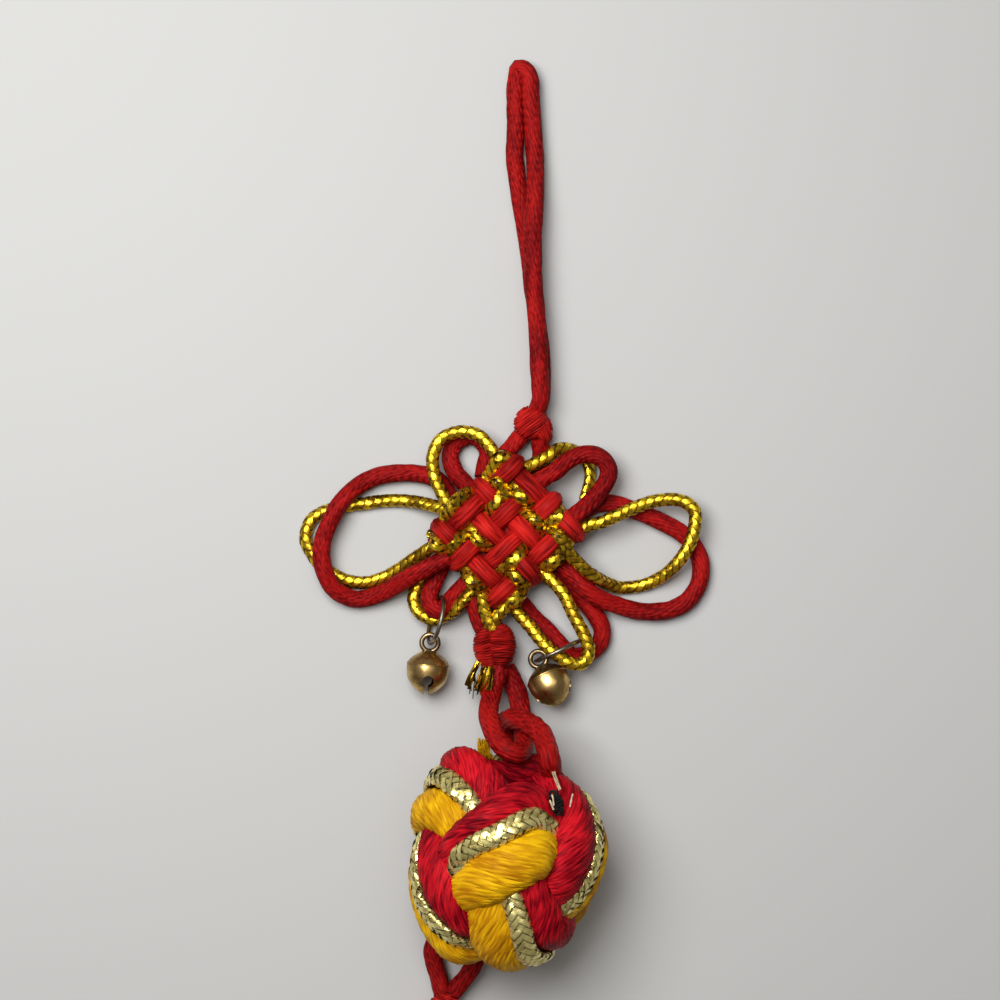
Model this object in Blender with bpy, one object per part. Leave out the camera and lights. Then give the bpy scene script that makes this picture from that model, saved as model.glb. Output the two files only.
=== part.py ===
"""Knotted silk hanging ornament with a ball knot, two small bells and a tassel.

It lies face up on a table: +X is its right, +Y points to the hanging loop, +Z is up and
the table is z = 0.  The origin is under the middle of the whole length.  Routes are in
millimetres; every length used by Blender is in metres.
"""

import math

import bmesh
import bpy
import numpy as np
from mathutils import Matrix, Vector

MM = 0.001

# Driving dimensions, in millimetres
RED_D = 2.4  # plied silk cord
GOLD_D = 1.2  # tubular metallic braid
TAIL_D = 0.9  # a cut gold end, partly unravelled
BODY_CENTRE = (-0.2, 38.7)
BODY_HALF = 8.4  # half the side of the woven square
BODY_HEIGHT = 7.0
BODY_FLAT = 0.75  # share of the underside that lies flat
BALL_CENTRE = (-0.1, -5.0, 12.4)
BALL_RADII = (13.9, 16.2, 13.5)
BALL_RED_D = 5.4  # the thick red and yellow cords of the ball
BALL_YELLOW_D = 5.8
BALL_LACE_D = 3.4
BELL_R = 3.0
BELL_WALL = 0.35
BELL_EYE_R = 1.15  # middle of the eye's wire
BELL_EYE_WIRE = 0.35
BELL_SEAM_FROM_EYE = 2.95
RING_R = 3.3
RING_WIRE = 0.3
ROUTE_STEP = 1.35  # spacing of a cord's points, in diameters
CURVED_STEP = 1.0  # the same where the cord is gold or tightly bent

for old in list(bpy.data.objects):
    bpy.data.objects.remove(old, do_unlink=True)


def make_material(name, colour, roughness, metallic=0.0):
    material = bpy.data.materials.new(name)
    material.use_nodes = True
    shader = material.node_tree.nodes["Principled BSDF"]
    shader.inputs["Base Color"].default_value = (*colour, 1.0)
    shader.inputs["Roughness"].default_value = roughness
    shader.inputs["Metallic"].default_value = metallic
    return material


def red_silk(name):
    return make_material(name + "_red_silk", (0.55, 0.02, 0.025), 0.55)


def gold_braid(name):
    return make_material(name + "_gold_braid", (0.62, 0.40, 0.06), 0.35, 0.8)


def brass(name):
    return make_material(name + "_brass", (0.45, 0.30, 0.11), 0.35, 1.0)


def finish(name, mesh, material, crease=50):
    """Link a mesh as the object of one node; edges sharper than `crease` degrees stay crisp."""
    mesh.materials.append(material)
    mesh.shade_smooth()
    mesh.set_sharp_from_angle(angle=math.radians(crease))
    node = bpy.data.objects.new(name, mesh)
    bpy.context.scene.collection.objects.link(node)
    return node


def mesh_from_bmesh(name, bm):
    bmesh.ops.recalc_face_normals(bm, faces=bm.faces)
    mesh = bpy.data.meshes.new(name)
    bm.to_mesh(mesh)
    bm.free()
    return mesh


# ---------------------------------------------------------------- cords


def smooth_route(points, step):
    """Points every `step` millimetres on a smooth curve through a route's own points."""
    route = np.array(points, dtype=float)
    knots = np.r_[0, np.cumsum(np.sqrt(np.linalg.norm(np.diff(route, axis=0), axis=1)))]
    slopes = np.empty_like(route)
    slopes[0] = (route[1] - route[0]) / (knots[1] - knots[0])
    slopes[-1] = (route[-1] - route[-2]) / (knots[-1] - knots[-2])
    for i in range(1, len(route) - 1):
        before = (route[i] - route[i - 1]) / (knots[i] - knots[i - 1])
        after = (route[i + 1] - route[i]) / (knots[i + 1] - knots[i])
        across = (route[i + 1] - route[i - 1]) / (knots[i + 1] - knots[i - 1])
        slopes[i] = before + after - across
    fine = []
    for i in range(len(route) - 1):
        span = knots[i + 1] - knots[i]
        for s in np.linspace(0, 1, 24, endpoint=False):
            fine.append(
                (2 * s**3 - 3 * s**2 + 1) * route[i]
                + (s**3 - 2 * s**2 + s) * span * slopes[i]
                + (3 * s**2 - 2 * s**3) * route[i + 1]
                + (s**3 - s**2) * span * slopes[i + 1]
            )
    fine.append(route[-1])
    fine = np.array(fine)
    travelled = np.r_[0, np.cumsum(np.linalg.norm(np.diff(fine, axis=0), axis=1))]
    count = max(3, round(travelled[-1] / step) + 1)
    stations = np.linspace(0, travelled[-1], count)
    return np.stack([np.interp(stations, travelled, fine[:, k]) for k in range(3)], axis=1)


def make_cord(name, route, diameter, material, step=ROUTE_STEP):
    """A plain round cord along its route, as a bevelled curve with closed ends."""
    points = smooth_route(route, step * diameter)
    curve = bpy.data.curves.new(name, "CURVE")
    curve.dimensions = "3D"
    curve.bevel_depth = diameter / 2 * MM
    curve.bevel_resolution = 2
    curve.use_fill_caps = True
    spline = curve.splines.new("POLY")
    spline.points.add(len(points) - 1)
    for point, place in zip(spline.points, points):
        point.co = (*(place * MM), 1.0)
    curve.materials.append(material)
    node = bpy.data.objects.new(name, curve)
    bpy.context.scene.collection.objects.link(node)
    return node


# The loop that the ornament hangs from: up the right strand, over the crown and down
# the left strand, which passes under the right one on its way to the top knot.
HANGING_LOOP = [
    (4.8, 57.2, 4.05), (4.75, 59.3, 4.1), (4.6, 62.7, 4.1), (4.3, 68.2, 4.1),
    (3.9, 74.4, 4.1), (3.85, 80.0, 3.95), (4.1, 85.6, 3.2), (4.1, 90.5, 2.3),
    (3.8, 95.4, 2.2), (3.5, 99.6, 2.2), (3.4, 101.8, 2.1), (2.7, 103.2, 1.9),
    (1.8, 103.4, 1.6), (1.1, 102.3, 1.35), (0.9, 100.1, 1.25), (1.0, 95.6, 1.25),
    (1.3, 90.7, 1.25), (2.0, 85.8, 1.25), (2.9, 80.2, 1.25), (3.6, 74.7, 1.25),
    (4.4, 68.4, 1.25), (5.1, 62.8, 1.25), (5.1, 59.3, 1.25), (4.9, 57.1, 1.25),
]
make_cord("hanging_loop", HANGING_LOOP, RED_D, red_silk("hanging_loop"))

# The two red legs between the top knot and the woven square.
LEG_LEFT = [(1.6, 51.5, 2.3), (0.8, 50.6, 2.5), (0.2, 49.9, 2.7)]
LEG_RIGHT = [(4.9, 50.5, 2.0), (5.0, 49.6, 1.6), (4.9, 48.6, 1.3), (4.7, 47.7, 1.25)]
make_cord("leg_left", LEG_LEFT, RED_D, red_silk("leg_left"), CURVED_STEP)
make_cord("leg_right", LEG_RIGHT, RED_D, red_silk("leg_right"), CURVED_STEP)

# Ears: each is a loop of the red cord and a loop of the gold braid, side by side.
EARS = {
    "ear_upper_left_gold": [
        (-8.3, 43.3, 4.0), (-9.2, 44.9, 3.9), (-9.9, 46.9, 3.7), (-10.1, 49.2, 3.6),
        (-9.0, 51.6, 3.6), (-6.5, 52.7, 3.6), (-3.9, 52.3, 3.8), (-2.4, 50.9, 4.2),
        (-1.5, 49.6, 4.7),
    ],
    "ear_upper_left_red": [
        (-5.8, 45.7, 2.9), (-7.0, 47.1, 2.0), (-7.7, 49.5, 1.3), (-6.8, 51.4, 1.23),
        (-4.7, 52.2, 1.23), (-3.0, 51.1, 1.3), (-2.5, 49.6, 1.5), (-2.7, 48.6, 1.8),
    ],
    "ear_left_red": [
        (-8.6, 44.9, 1.5), (-9.3, 45.8, 1.4), (-10.4, 46.5, 1.3), (-12.7, 47.0, 1.23),
        (-14.8, 47.0, 1.23), (-16.7, 46.8, 1.23), (-18.6, 46.3, 1.23), (-20.5, 45.2, 1.6),
        (-22.2, 43.7, 2.5), (-23.6, 41.9, 2.9), (-24.7, 39.6, 2.9), (-25.5, 37.3, 2.9),
        (-25.5, 34.8, 2.9), (-25.0, 32.8, 2.8), (-24.0, 31.0, 2.1), (-22.5, 29.9, 1.5),
        (-20.6, 29.4, 1.25), (-18.8, 29.7, 1.3), (-16.8, 30.5, 1.8), (-14.8, 31.6, 2.8),
        (-13.1, 32.7, 3.8), (-11.3, 33.6, 4.4), (-9.8, 34.4, 4.5),
    ],
    "ear_left_gold": [
        (-9.4, 42.3, 3.0), (-11.5, 42.8, 2.0), (-13.3, 43.1, 1.2), (-15.3, 43.2, 0.7),
        (-17.4, 43.1, 0.61), (-19.5, 42.8, 0.61), (-21.6, 42.5, 0.61), (-23.8, 42.1, 0.61),
        (-25.6, 41.5, 0.61), (-27.0, 40.6, 0.61), (-27.7, 39.3, 0.61), (-27.9, 37.6, 0.61),
        (-27.0, 35.7, 0.61), (-25.8, 34.1, 0.61), (-24.1, 32.9, 0.61), (-22.2, 32.0, 0.61),
        (-20.3, 31.7, 0.61), (-18.5, 31.9, 0.61), (-16.6, 32.6, 0.8), (-14.7, 33.7, 1.5),
        (-13.0, 34.9, 2.4), (-11.2, 36.1, 3.2),
    ],
    "ear_lower_left_gold": [
        (-9.8, 33.1, 1.2), (-10.8, 32.8, 1.1), (-11.9, 32.0, 1.1), (-12.8, 30.7, 1.2),
        (-13.1, 29.0, 1.5), (-12.4, 27.3, 1.9), (-10.9, 26.2, 2.1), (-9.4, 25.9, 1.9),
        (-7.9, 26.4, 1.6), (-6.4, 27.4, 1.4), (-4.9, 28.8, 1.3), (-3.9, 29.8, 1.3),
    ],
    "ear_lower_left_red": [
        (-7.1, 32.1, 3.5), (-8.6, 31.9, 3.0), (-10.0, 31.4, 2.5), (-11.1, 30.2, 2.5),
        (-10.8, 28.7, 3.1), (-9.4, 27.8, 3.5), (-8.2, 27.9, 3.3), (-7.0, 29.3, 2.5),
        (-6.4, 30.0, 2.2),
    ],
    "ear_lower_right_gold": [
        (6.0, 32.4, 4.6), (7.0, 31.5, 4.9), (8.1, 30.1, 5.2), (9.3, 27.6, 5.4),
        (10.7, 24.9, 5.5), (11.5, 22.6, 5.4), (11.1, 21.2, 5.2), (10.2, 20.5, 5.0),
        (9.1, 20.7, 4.9), (7.8, 21.4, 4.9), (6.2, 22.6, 4.8), (4.7, 24.1, 4.3),
        (3.4, 25.7, 3.7), (2.5, 26.7, 3.4),
    ],
    "ear_lower_right_red": [
        (7.8, 32.3, 1.6), (8.7, 31.6, 1.4), (9.8, 30.4, 1.3), (11.6, 28.4, 1.25),
        (13.0, 26.5, 1.25), (13.5, 25.0, 1.25), (13.2, 23.4, 1.3), (12.1, 22.2, 1.4),
        (10.6, 21.5, 1.6), (9.2, 21.5, 2.2), (7.9, 22.7, 2.8), (6.6, 24.2, 2.2),
        (5.2, 25.6, 1.5), (3.8, 26.9, 1.3), (2.7, 28.2, 1.3),
    ],
    "ear_right_gold": [
        (10.5, 39.2, 4.2), (11.8, 39.8, 4.2), (13.4, 40.2, 4.2), (15.0, 40.9, 4.2),
        (16.6, 41.6, 4.0), (18.2, 42.3, 3.9), (20.2, 43.0, 3.8), (22.0, 43.3, 3.8),
        (23.7, 43.3, 3.8), (25.2, 42.8, 3.8), (26.2, 41.7, 3.8), (26.3, 40.2, 3.8),
        (25.8, 37.9, 3.8), (25.1, 36.3, 3.6), (24.1, 34.8, 3.2), (22.6, 33.2, 2.3),
        (21.0, 32.1, 1.3), (19.4, 31.4, 0.8), (17.8, 31.1, 0.62), (16.0, 31.0, 0.7),
        (14.2, 31.6, 2.0), (12.6, 32.5, 4.2), (11.0, 33.6, 5.4), (9.8, 34.8, 5.8),
    ],
    "ear_right_red": [
        (11.0, 41.8, 1.3), (12.5, 42.6, 1.25), (13.9, 42.8, 1.23), (15.4, 42.6, 1.23),
        (17.0, 42.2, 1.23), (18.4, 41.7, 1.23), (20.1, 41.0, 1.23), (21.6, 40.3, 1.23),
        (23.3, 39.4, 1.23), (24.8, 38.4, 1.23), (26.2, 36.9, 1.23), (27.1, 35.1, 1.23),
        (27.3, 33.1, 1.23), (26.8, 31.2, 1.23), (25.7, 29.5, 1.23), (24.2, 28.4, 1.23),
        (22.4, 27.8, 1.23), (20.4, 27.6, 1.23), (18.3, 27.8, 1.3), (16.2, 28.4, 1.8),
        (13.6, 29.3, 3.0), (11.4, 30.7, 3.8), (10.0, 32.2, 3.6),
    ],
    "ear_upper_right_red": [
        (4.9, 46.1, 4.9), (5.6, 46.5, 4.8), (7.0, 47.3, 4.7), (8.2, 48.4, 4.4),
        (9.3, 49.1, 4.3), (10.9, 49.6, 4.2), (12.5, 49.4, 4.1), (13.8, 48.5, 4.1),
        (14.3, 47.3, 4.1), (13.9, 45.7, 4.1), (12.8, 44.2, 4.1), (11.4, 42.7, 4.3),
        (10.1, 41.5, 4.5),
    ],
    "ear_upper_right_gold": [
        (5.0, 48.8, 3.9), (6.0, 49.3, 3.7), (7.1, 50.2, 3.3), (8.3, 50.4, 2.4),
        (9.6, 50.1, 1.4), (10.7, 49.4, 0.9), (11.6, 48.1, 0.8), (11.8, 46.7, 0.8),
        (11.7, 45.6, 0.8), (11.5, 44.9, 0.8),
    ],
}
for ear_name, ear_route in EARS.items():
    if ear_name.endswith("gold"):
        make_cord(ear_name, ear_route, GOLD_D, gold_braid(ear_name), CURVED_STEP * 1.5)
    else:
        make_cord(ear_name, ear_route, RED_D, red_silk(ear_name), CURVED_STEP)

# Below the square: the bottom knot's own loop hooks through the loop on the ball.
KNOT_LINK = [
    (-1.3, 18.5, 4.3), (-1.8, 17.2, 4.6), (-2.1, 15.7, 5.8), (-2.3, 14.2, 8.4),
    (-2.0, 12.6, 10.9), (-1.3, 11.1, 12.9), (-0.2, 9.8, 14.5), (1.2, 9.0, 14.6),
    (2.2, 9.2, 12.7), (2.5, 10.2, 9.9), (2.5, 11.0, 7.1), (2.3, 12.3, 4.8),
    (2.0, 14.6, 3.2), (1.4, 17.0, 2.2), (0.7, 18.4, 1.7),
]
BALL_LOOP = [
    (-0.4, 9.8, 4.8), (-0.65, 10.7, 4.6), (-0.6, 11.8, 4.8), (-0.35, 12.7, 5.8),
    (0.6, 13.2, 7.6), (2.0, 13.2, 9.5), (3.4, 12.7, 11.1), (4.6, 11.8, 12.5),
    (5.3, 10.6, 14.0), (5.6, 9.5, 15.4), (5.7, 8.7, 16.5),
]
make_cord("knot_link", KNOT_LINK, RED_D, red_silk("knot_link"), CURVED_STEP)
make_cord("ball_loop", BALL_LOOP, RED_D, red_silk("ball_loop"), CURVED_STEP)
FOOT_LEFT = [
    (-8.0, -15.6, 1.7), (-9.6, -17.6, 1.9), (-10.2, -19.6, 2.0), (-9.8, -21.6, 1.9),
    (-9.3, -23.3, 1.9), (-9.0, -24.5, 2.0),
]
FOOT_RIGHT = [
    (-3.0, -18.4, 2.0), (-3.9, -20.4, 2.4), (-4.9, -22.2, 2.7), (-5.9, -23.6, 2.5), (-6.7, -24.6, 2.3),
]
make_cord("foot_left", FOOT_LEFT, RED_D, red_silk("foot_left"), CURVED_STEP)
make_cord("foot_right", FOOT_RIGHT, RED_D, red_silk("foot_right"), CURVED_STEP)

# Cut ends of the gold braid that stick out under the bottom knot.
GOLD_TAILS = [
    [(-4.8, 20.0, 4.1), (-5.4, 18.8, 4.2), (-5.8, 17.4, 3.8)],
    [(-3.7, 19.3, 4.4), (-4.1, 17.8, 4.6), (-4.4, 16.2, 4.4)],
    [(-2.7, 19.4, 5.9), (-3.0, 18.0, 6.4), (-3.6, 16.9, 6.5)],
]
for tail_number, tail_route in enumerate(GOLD_TAILS, start=1):
    tail_name = f"gold_tail_{tail_number}"
    make_cord(tail_name, tail_route, TAIL_D, gold_braid(tail_name), ROUTE_STEP)


# ---------------------------------------------------------------- knots


def make_wrapped_knot(name, centre, radii, wraps, lean, ridge=0.10):
    """A tight wrapped knot: an egg along Y with the main turns of its cord as ridges."""
    around, along = 20, 12
    bm = bmesh.new()
    tips = []
    rows = []
    for j in range(1, along):
        theta = math.pi * j / along
        row = []
        for i in range(around):
            phi = 2 * math.pi * i / around
            turn = wraps * theta + lean * math.cos(phi)
            swell = 1 - ridge * (0.5 + 0.5 * math.cos(2 * turn)) * math.sin(theta)
            x = centre[0] + radii[0] * math.sin(theta) * math.cos(phi) * swell
            y = centre[1] + radii[1] * math.cos(theta)
            z = centre[2] + radii[2] * math.sin(theta) * math.sin(phi) * swell
            row.append(bm.verts.new((x * MM, y * MM, max(z, 0.0) * MM)))
        rows.append(row)
    for end in (1, -1):
        tip = (centre[0] * MM, (centre[1] + end * radii[1]) * MM, centre[2] * MM)
        tips.append(bm.verts.new(tip))
    for upper, lower in zip(rows, rows[1:]):
        for i in range(around):
            k = (i + 1) % around
            bm.faces.new((upper[i], upper[k], lower[k], lower[i]))
    for i in range(around):
        k = (i + 1) % around
        bm.faces.new((tips[0], rows[0][k], rows[0][i]))
        bm.faces.new((tips[1], rows[-1][i], rows[-1][k]))
    return finish(name, mesh_from_bmesh(name, bm), red_silk(name))


make_wrapped_knot("top_knot", (3.95, 53.9, 2.7), (2.6, 2.7, 2.65), 3, 0.7)
make_wrapped_knot("bottom_knot", (-1.2, 22.6, 3.2), (3.1, 3.35, 3.15), 3, 0.3)
make_wrapped_knot("tassel_knot", (-8.3, -27.6, 2.7), (2.9, 2.6, 2.65), 3, 0.5)

# The woven square: four pairs of cords each way, over and under in turn.
PAIRS_RISING = (5.9, 2.1, -1.4, -5.3)  # distance of each "/" pair from the middle
PAIRS_FALLING = (7.2, 2.4, -1.1, -5.6)  # the same for each "\" pair
PAIR_HALF_WIDTH = 1.9
PAIR_HALF_HEIGHT = 1.3
WEAVE_MIDDLE = 4.7
WEAVE_WAVE = 1.2


def pair_wave(place, lines, first_is_over):
    """Height of a pair's middle along its run: up on one crossing, down on the next."""
    heights = [WEAVE_WAVE if (k % 2 == 0) == first_is_over else -WEAVE_WAVE for k in range(len(lines))]
    return float(np.interp(-place, [-line for line in lines], heights))


def weave_top(u, v):
    """Height of the woven face at a place on it; u runs up right, v runs up left."""
    best = WEAVE_MIDDLE
    for k, line in enumerate(PAIRS_RISING):
        across = (v - line) / PAIR_HALF_WIDTH
        if abs(across) < 1:
            middle = WEAVE_MIDDLE + pair_wave(u, PAIRS_FALLING, k % 2 == 0)
            best = max(best, middle + PAIR_HALF_HEIGHT * math.sqrt(1 - across**2))
    for k, line in enumerate(PAIRS_FALLING):
        across = (u - line) / PAIR_HALF_WIDTH
        if abs(across) < 1:
            middle = WEAVE_MIDDLE + pair_wave(v, PAIRS_RISING, k % 2 == 1)
            best = max(best, middle + PAIR_HALF_HEIGHT * math.sqrt(1 - across**2))
    return best


def make_knot_body():
    cells = 22
    waist = BODY_HEIGHT / 2
    corner = 0.25  # how far the square's corners are drawn in
    bm = bmesh.new()
    top, bottom = {}, {}
    for i in range(cells + 1):
        for j in range(cells + 1):
            a = 2 * i / cells - 1
            b = 2 * j / cells - 1
            u = BODY_HALF * a * math.sqrt(1 - corner * b * b)
            v = BODY_HALF * b * math.sqrt(1 - corner * a * a)
            edge = max(abs(a), abs(b))
            x = BODY_CENTRE[0] + (u - v) / math.sqrt(2)
            y = BODY_CENTRE[1] + (u + v) / math.sqrt(2)
            drop = max(0.0, (edge - BODY_FLAT) / (1 - BODY_FLAT))
            curve = math.sqrt(max(0.0, 1 - drop * drop))
            high = waist + (weave_top(u, v) - waist) * curve
            low = waist * (1 - curve)
            top[i, j] = bm.verts.new((x * MM, y * MM, high * MM))
            on_rim = i in (0, cells) or j in (0, cells)
            bottom[i, j] = top[i, j] if on_rim else bm.verts.new((x * MM, y * MM, low * MM))
    for i in range(cells):
        for j in range(cells):
            square = [(i, j), (i + 1, j), (i + 1, j + 1), (i, j + 1)]
            bm.faces.new([top[key] for key in square])
            bm.faces.new([bottom[key] for key in reversed(square)])
    bmesh.ops.triangulate(bm, faces=bm.faces)
    return finish("knot_body", mesh_from_bmesh("knot_body", bm), red_silk("knot_body"), 85)


make_knot_body()

# The ball: one triple cord (red, flat gold lace, yellow) laid three times around the
# ball with four turns at each end, over and under in turn.  Angles in degrees.
BALL_LEADS = 3
BALL_TURNS = 4
BALL_SWING = 45.5  # how far each lead goes from the ball's equator
BALL_SWING_LEAN = 3.5  # how much the lead leans at its crossings
BALL_RED_STEP = 4.0  # from the lace to the thick cord beside it
BALL_YELLOW_STEP = -4.35
BALL_DIVE = 1.6  # how far a lead goes in at an under crossing, and back at an over one
BALL_CORE = 11.9
BALL_HOLE = 2.2  # how far the core goes in at the hole the ball's loop comes out of
BALL_HOLE_REACH = 0.3
BALL_PRESSED = 0.5  # what would come this near to the table is pressed flat on it
BALL_TURN = Matrix.Rotation(math.radians(168), 3, "Z")
BALL_TILT = Matrix.Rotation(math.radians(70), 3, "X")
BALL_SPIN = Matrix.Rotation(math.radians(75.6), 3, "Z")
# The knot was drawn tight by hand: places on its upper side that are pulled aside, as
# (x, y) and how far, in half widths of the ball, and how far round them that is felt.
BALL_PULLS = [
    ((-0.42, -0.08), (-0.04, 0.10)), ((-0.12, 0.16), (0.00, 0.08)), ((0.15, 0.66), (0.00, 0.08)),
    ((0.37, 0.20), (0.00, 0.05)), ((-0.55, 0.64), (0.02, -0.03)), ((-0.18, 0.81), (0.06, 0.01)),
    ((0.60, 0.15), (-0.06, 0.00)), ((0.84, 0.11), (0.07, 0.00)), ((0.67, -0.35), (0.04, -0.07)),
    ((-0.78, -0.12), (0.14, 0.00)), ((-0.92, -0.18), (0.04, 0.00)), ((-0.60, -0.62), (0.03, 0.10)),
    ((-0.31, -0.58), (-0.10, 0.00)), ((-0.16, -0.84), (-0.16, -0.02)), ((0.27, -0.82), (-0.09, -0.03)),
    ((0.62, -0.60), (-0.10, 0.02)), ((0.10, -0.33), (0.04, 0.00)),
]
BALL_PULL_REACH = 0.25
# Where the ball bulges or is pressed in: direction, share of its radius, reach.
BALL_SWELLS = [
    ((0.14, 0.98, -0.02), -0.16, 0.27),
    ((-0.45, 0.88, 0.10), 0.03, 0.20),
    ((-0.60, -0.80, 0.00), 0.05, 0.20),
    ((-0.50, -0.86, 0.06), 0.10, 0.15),
]


def nearness(places, others, reach):
    """How strongly each place feels each of the others, from 0 to 1."""
    apart = np.sum((places[:, None, :] - others[None, :, :]) ** 2, axis=2)
    return np.exp(-apart / (2 * reach**2))


def pulled(directions):
    """Directions from the ball's middle, moved as the knot is pulled out of shape."""
    at, by = [], []
    for (x, y), (dx, dy) in BALL_PULLS:
        z = math.sqrt(max(0.0, 1 - x * x - y * y))
        at.append((x, y, z))
        by.append((dx, dy, -(x * dx + y * dy) / max(0.4, z)))
    at, by = np.array(at), np.array(by)
    share = nearness(at, at, BALL_PULL_REACH) + 0.05 * np.eye(len(at))
    moved = directions + nearness(directions, at, BALL_PULL_REACH) @ np.linalg.solve(share, by)
    return moved / np.linalg.norm(moved, axis=1)[:, None]


def ball_swell(directions):
    """How much the ball bulges in each direction, 1 where it doesn't."""
    bulge = np.ones(len(directions))
    for direction, amount, reach in BALL_SWELLS:
        direction = np.array([direction]) / np.linalg.norm(direction)
        bulge += amount * nearness(directions, direction, reach)[:, 0]
    return bulge


def ball_lead(count, side, radius):
    """Middle line of one cord of the triple on a round ball, seen from the ball's middle."""
    turn = np.array(BALL_TURN @ BALL_TILT @ BALL_SPIN)
    s = np.linspace(0, 2 * math.pi * BALL_TURNS, count, endpoint=False)

    def place(phase):
        high = np.radians(BALL_SWING * np.cos(phase))
        lean = math.radians(BALL_SWING_LEAN) * np.sin(2 * phase)
        round_angle = BALL_LEADS / BALL_TURNS * phase - math.pi / 4 + lean
        flat = np.stack([np.cos(high) * np.cos(round_angle), np.cos(high) * np.sin(round_angle)])
        return np.vstack([flat, np.sin(high)]).T @ turn.T

    here = place(s)
    ahead = place(s + 0.01) - here
    ahead /= np.linalg.norm(ahead, axis=1)[:, None]
    here = here + np.cross(here, ahead) * side / radius
    here = pulled(here / np.linalg.norm(here, axis=1)[:, None])
    depth = BALL_DIVE * (1 + np.sin(2 * s))
    return here * (radius - depth)[:, None]


def ball_radius(direction):
    """Distance from the middle to the outermost cord, as a share of the ball's radii."""
    mean = sum(BALL_RADII) / 3
    north = np.array(BALL_TURN @ BALL_TILT @ Vector((0, 0, 1)))
    here = np.array([direction])
    best = BALL_CORE - BALL_HOLE * nearness(here, np.array([north]), BALL_HOLE_REACH)[0, 0]
    cords = ((BALL_RED_STEP, BALL_RED_D), (0.0, BALL_LACE_D), (BALL_YELLOW_STEP, BALL_YELLOW_D))
    for side, diameter in cords:
        line = BALL_LINES.setdefault(side, ball_lead(360, side, mean - diameter / 2))
        along = line @ direction
        inside = (diameter / 2) ** 2 - (np.sum(line**2, axis=1) - along**2)
        reach = np.where(inside > 0, along + np.sqrt(np.maximum(inside, 0)), 0)
        best = max(best, float(reach.max()))
    return best / mean * ball_swell(here)[0]


BALL_LINES = {}


def make_ball_knot():
    around, along = 38, 20
    turn = BALL_TURN @ BALL_TILT @ BALL_SPIN
    bm = bmesh.new()

    def vertex(theta, phi):
        direction = turn @ Vector(
            (math.sin(theta) * math.cos(phi), math.sin(theta) * math.sin(phi), math.cos(theta))
        )
        reach = ball_radius(np.array(direction))
        place = [BALL_CENTRE[k] + direction[k] * reach * BALL_RADII[k] for k in range(3)]
        height = place[2] if place[2] > BALL_PRESSED else 0.0
        return bm.verts.new((place[0] * MM, place[1] * MM, height * MM))

    rows = []
    for j in range(1, along):
        rows.append([vertex(math.pi * j / along, 2 * math.pi * i / around) for i in range(around)])
    north, south = vertex(0, 0), vertex(math.pi, 0)
    for upper, lower in zip(rows, rows[1:]):
        for i in range(around):
            k = (i + 1) % around
            bm.faces.new((upper[i], upper[k], lower[k], lower[i]))
    for i in range(around):
        k = (i + 1) % around
        bm.faces.new((north, rows[0][k], rows[0][i]))
        bm.faces.new((south, rows[-1][i], rows[-1][k]))
    bmesh.ops.triangulate(bm, faces=bm.faces)
    material = make_material("ball_knot_cords", (0.45, 0.02, 0.02), 0.6)
    return finish("ball_knot", mesh_from_bmesh("ball_knot", bm), material, 85)


make_ball_knot()

# A few turns of black thread that hold two of the ball's cords together.
TIE_DIRECTION = Vector((0.545, 0.555, 0.63)).normalized()
TIE_RADII = (0.8, 1.3, 0.7)


def make_thread_tie():
    reach = ball_radius(np.array(TIE_DIRECTION))
    bm = bmesh.new()
    bmesh.ops.create_uvsphere(bm, u_segments=12, v_segments=8, radius=1.0)
    bmesh.ops.scale(bm, vec=Vector(TIE_RADII) * MM, verts=bm.verts)
    place = Vector([BALL_CENTRE[k] + TIE_DIRECTION[k] * reach * BALL_RADII[k] for k in range(3)])
    place += TIE_DIRECTION * (TIE_RADII[2] + 1.3)
    facing = Vector((0, 0, 1)).rotation_difference(TIE_DIRECTION).to_matrix().to_4x4()
    bmesh.ops.transform(bm, matrix=Matrix.Translation(place * MM) @ facing, verts=bm.verts)
    material = make_material("thread_tie_black", (0.02, 0.02, 0.02), 0.7)
    return finish("thread_tie", mesh_from_bmesh("thread_tie", bm), material)


make_thread_tie()


# ---------------------------------------------------------------- tassel

TASSEL_TOP = (-8.2, -30.6)
# Sections of the tassel, in millimetres: distance down, half width, half height, folds
SECTIONS = [
    {"down": 0.0, "wide": 1.3, "high": 1.3, "fold": 0.0},
    {"down": 0.8, "wide": 3.0, "high": 2.7, "fold": 0.0},
    {"down": 2.6, "wide": 4.2, "high": 3.6, "fold": 0.01},
    {"down": 5.2, "wide": 4.7, "high": 3.8, "fold": 0.02},
    {"down": 7.8, "wide": 4.3, "high": 3.7, "fold": 0.03},
    {"down": 9.4, "wide": 3.0, "high": 3.0, "fold": 0.0},
    {"down": 11.8, "wide": 3.0, "high": 3.0, "fold": 0.0},
    {"down": 13.6, "wide": 4.2, "high": 3.5, "fold": 0.04},
    {"down": 18.0, "wide": 5.4, "high": 3.9, "fold": 0.06},
    {"down": 28.0, "wide": 6.4, "high": 3.6, "fold": 0.08},
    {"down": 42.0, "wide": 7.2, "high": 3.2, "fold": 0.10},
    {"down": 58.0, "wide": 8.0, "high": 2.8, "fold": 0.12},
    {"down": 72.8, "wide": 8.8, "high": 2.4, "fold": 0.13},
]
TASSEL_AROUND = 36
TASSEL_DRIFT = 1.6  # how far the skirt swings towards +X over its length
NECK_FROM, NECK_TO = 9.5, 11.7
NECK_R = 3.0
NECK_HEIGHT = 3.85


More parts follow.
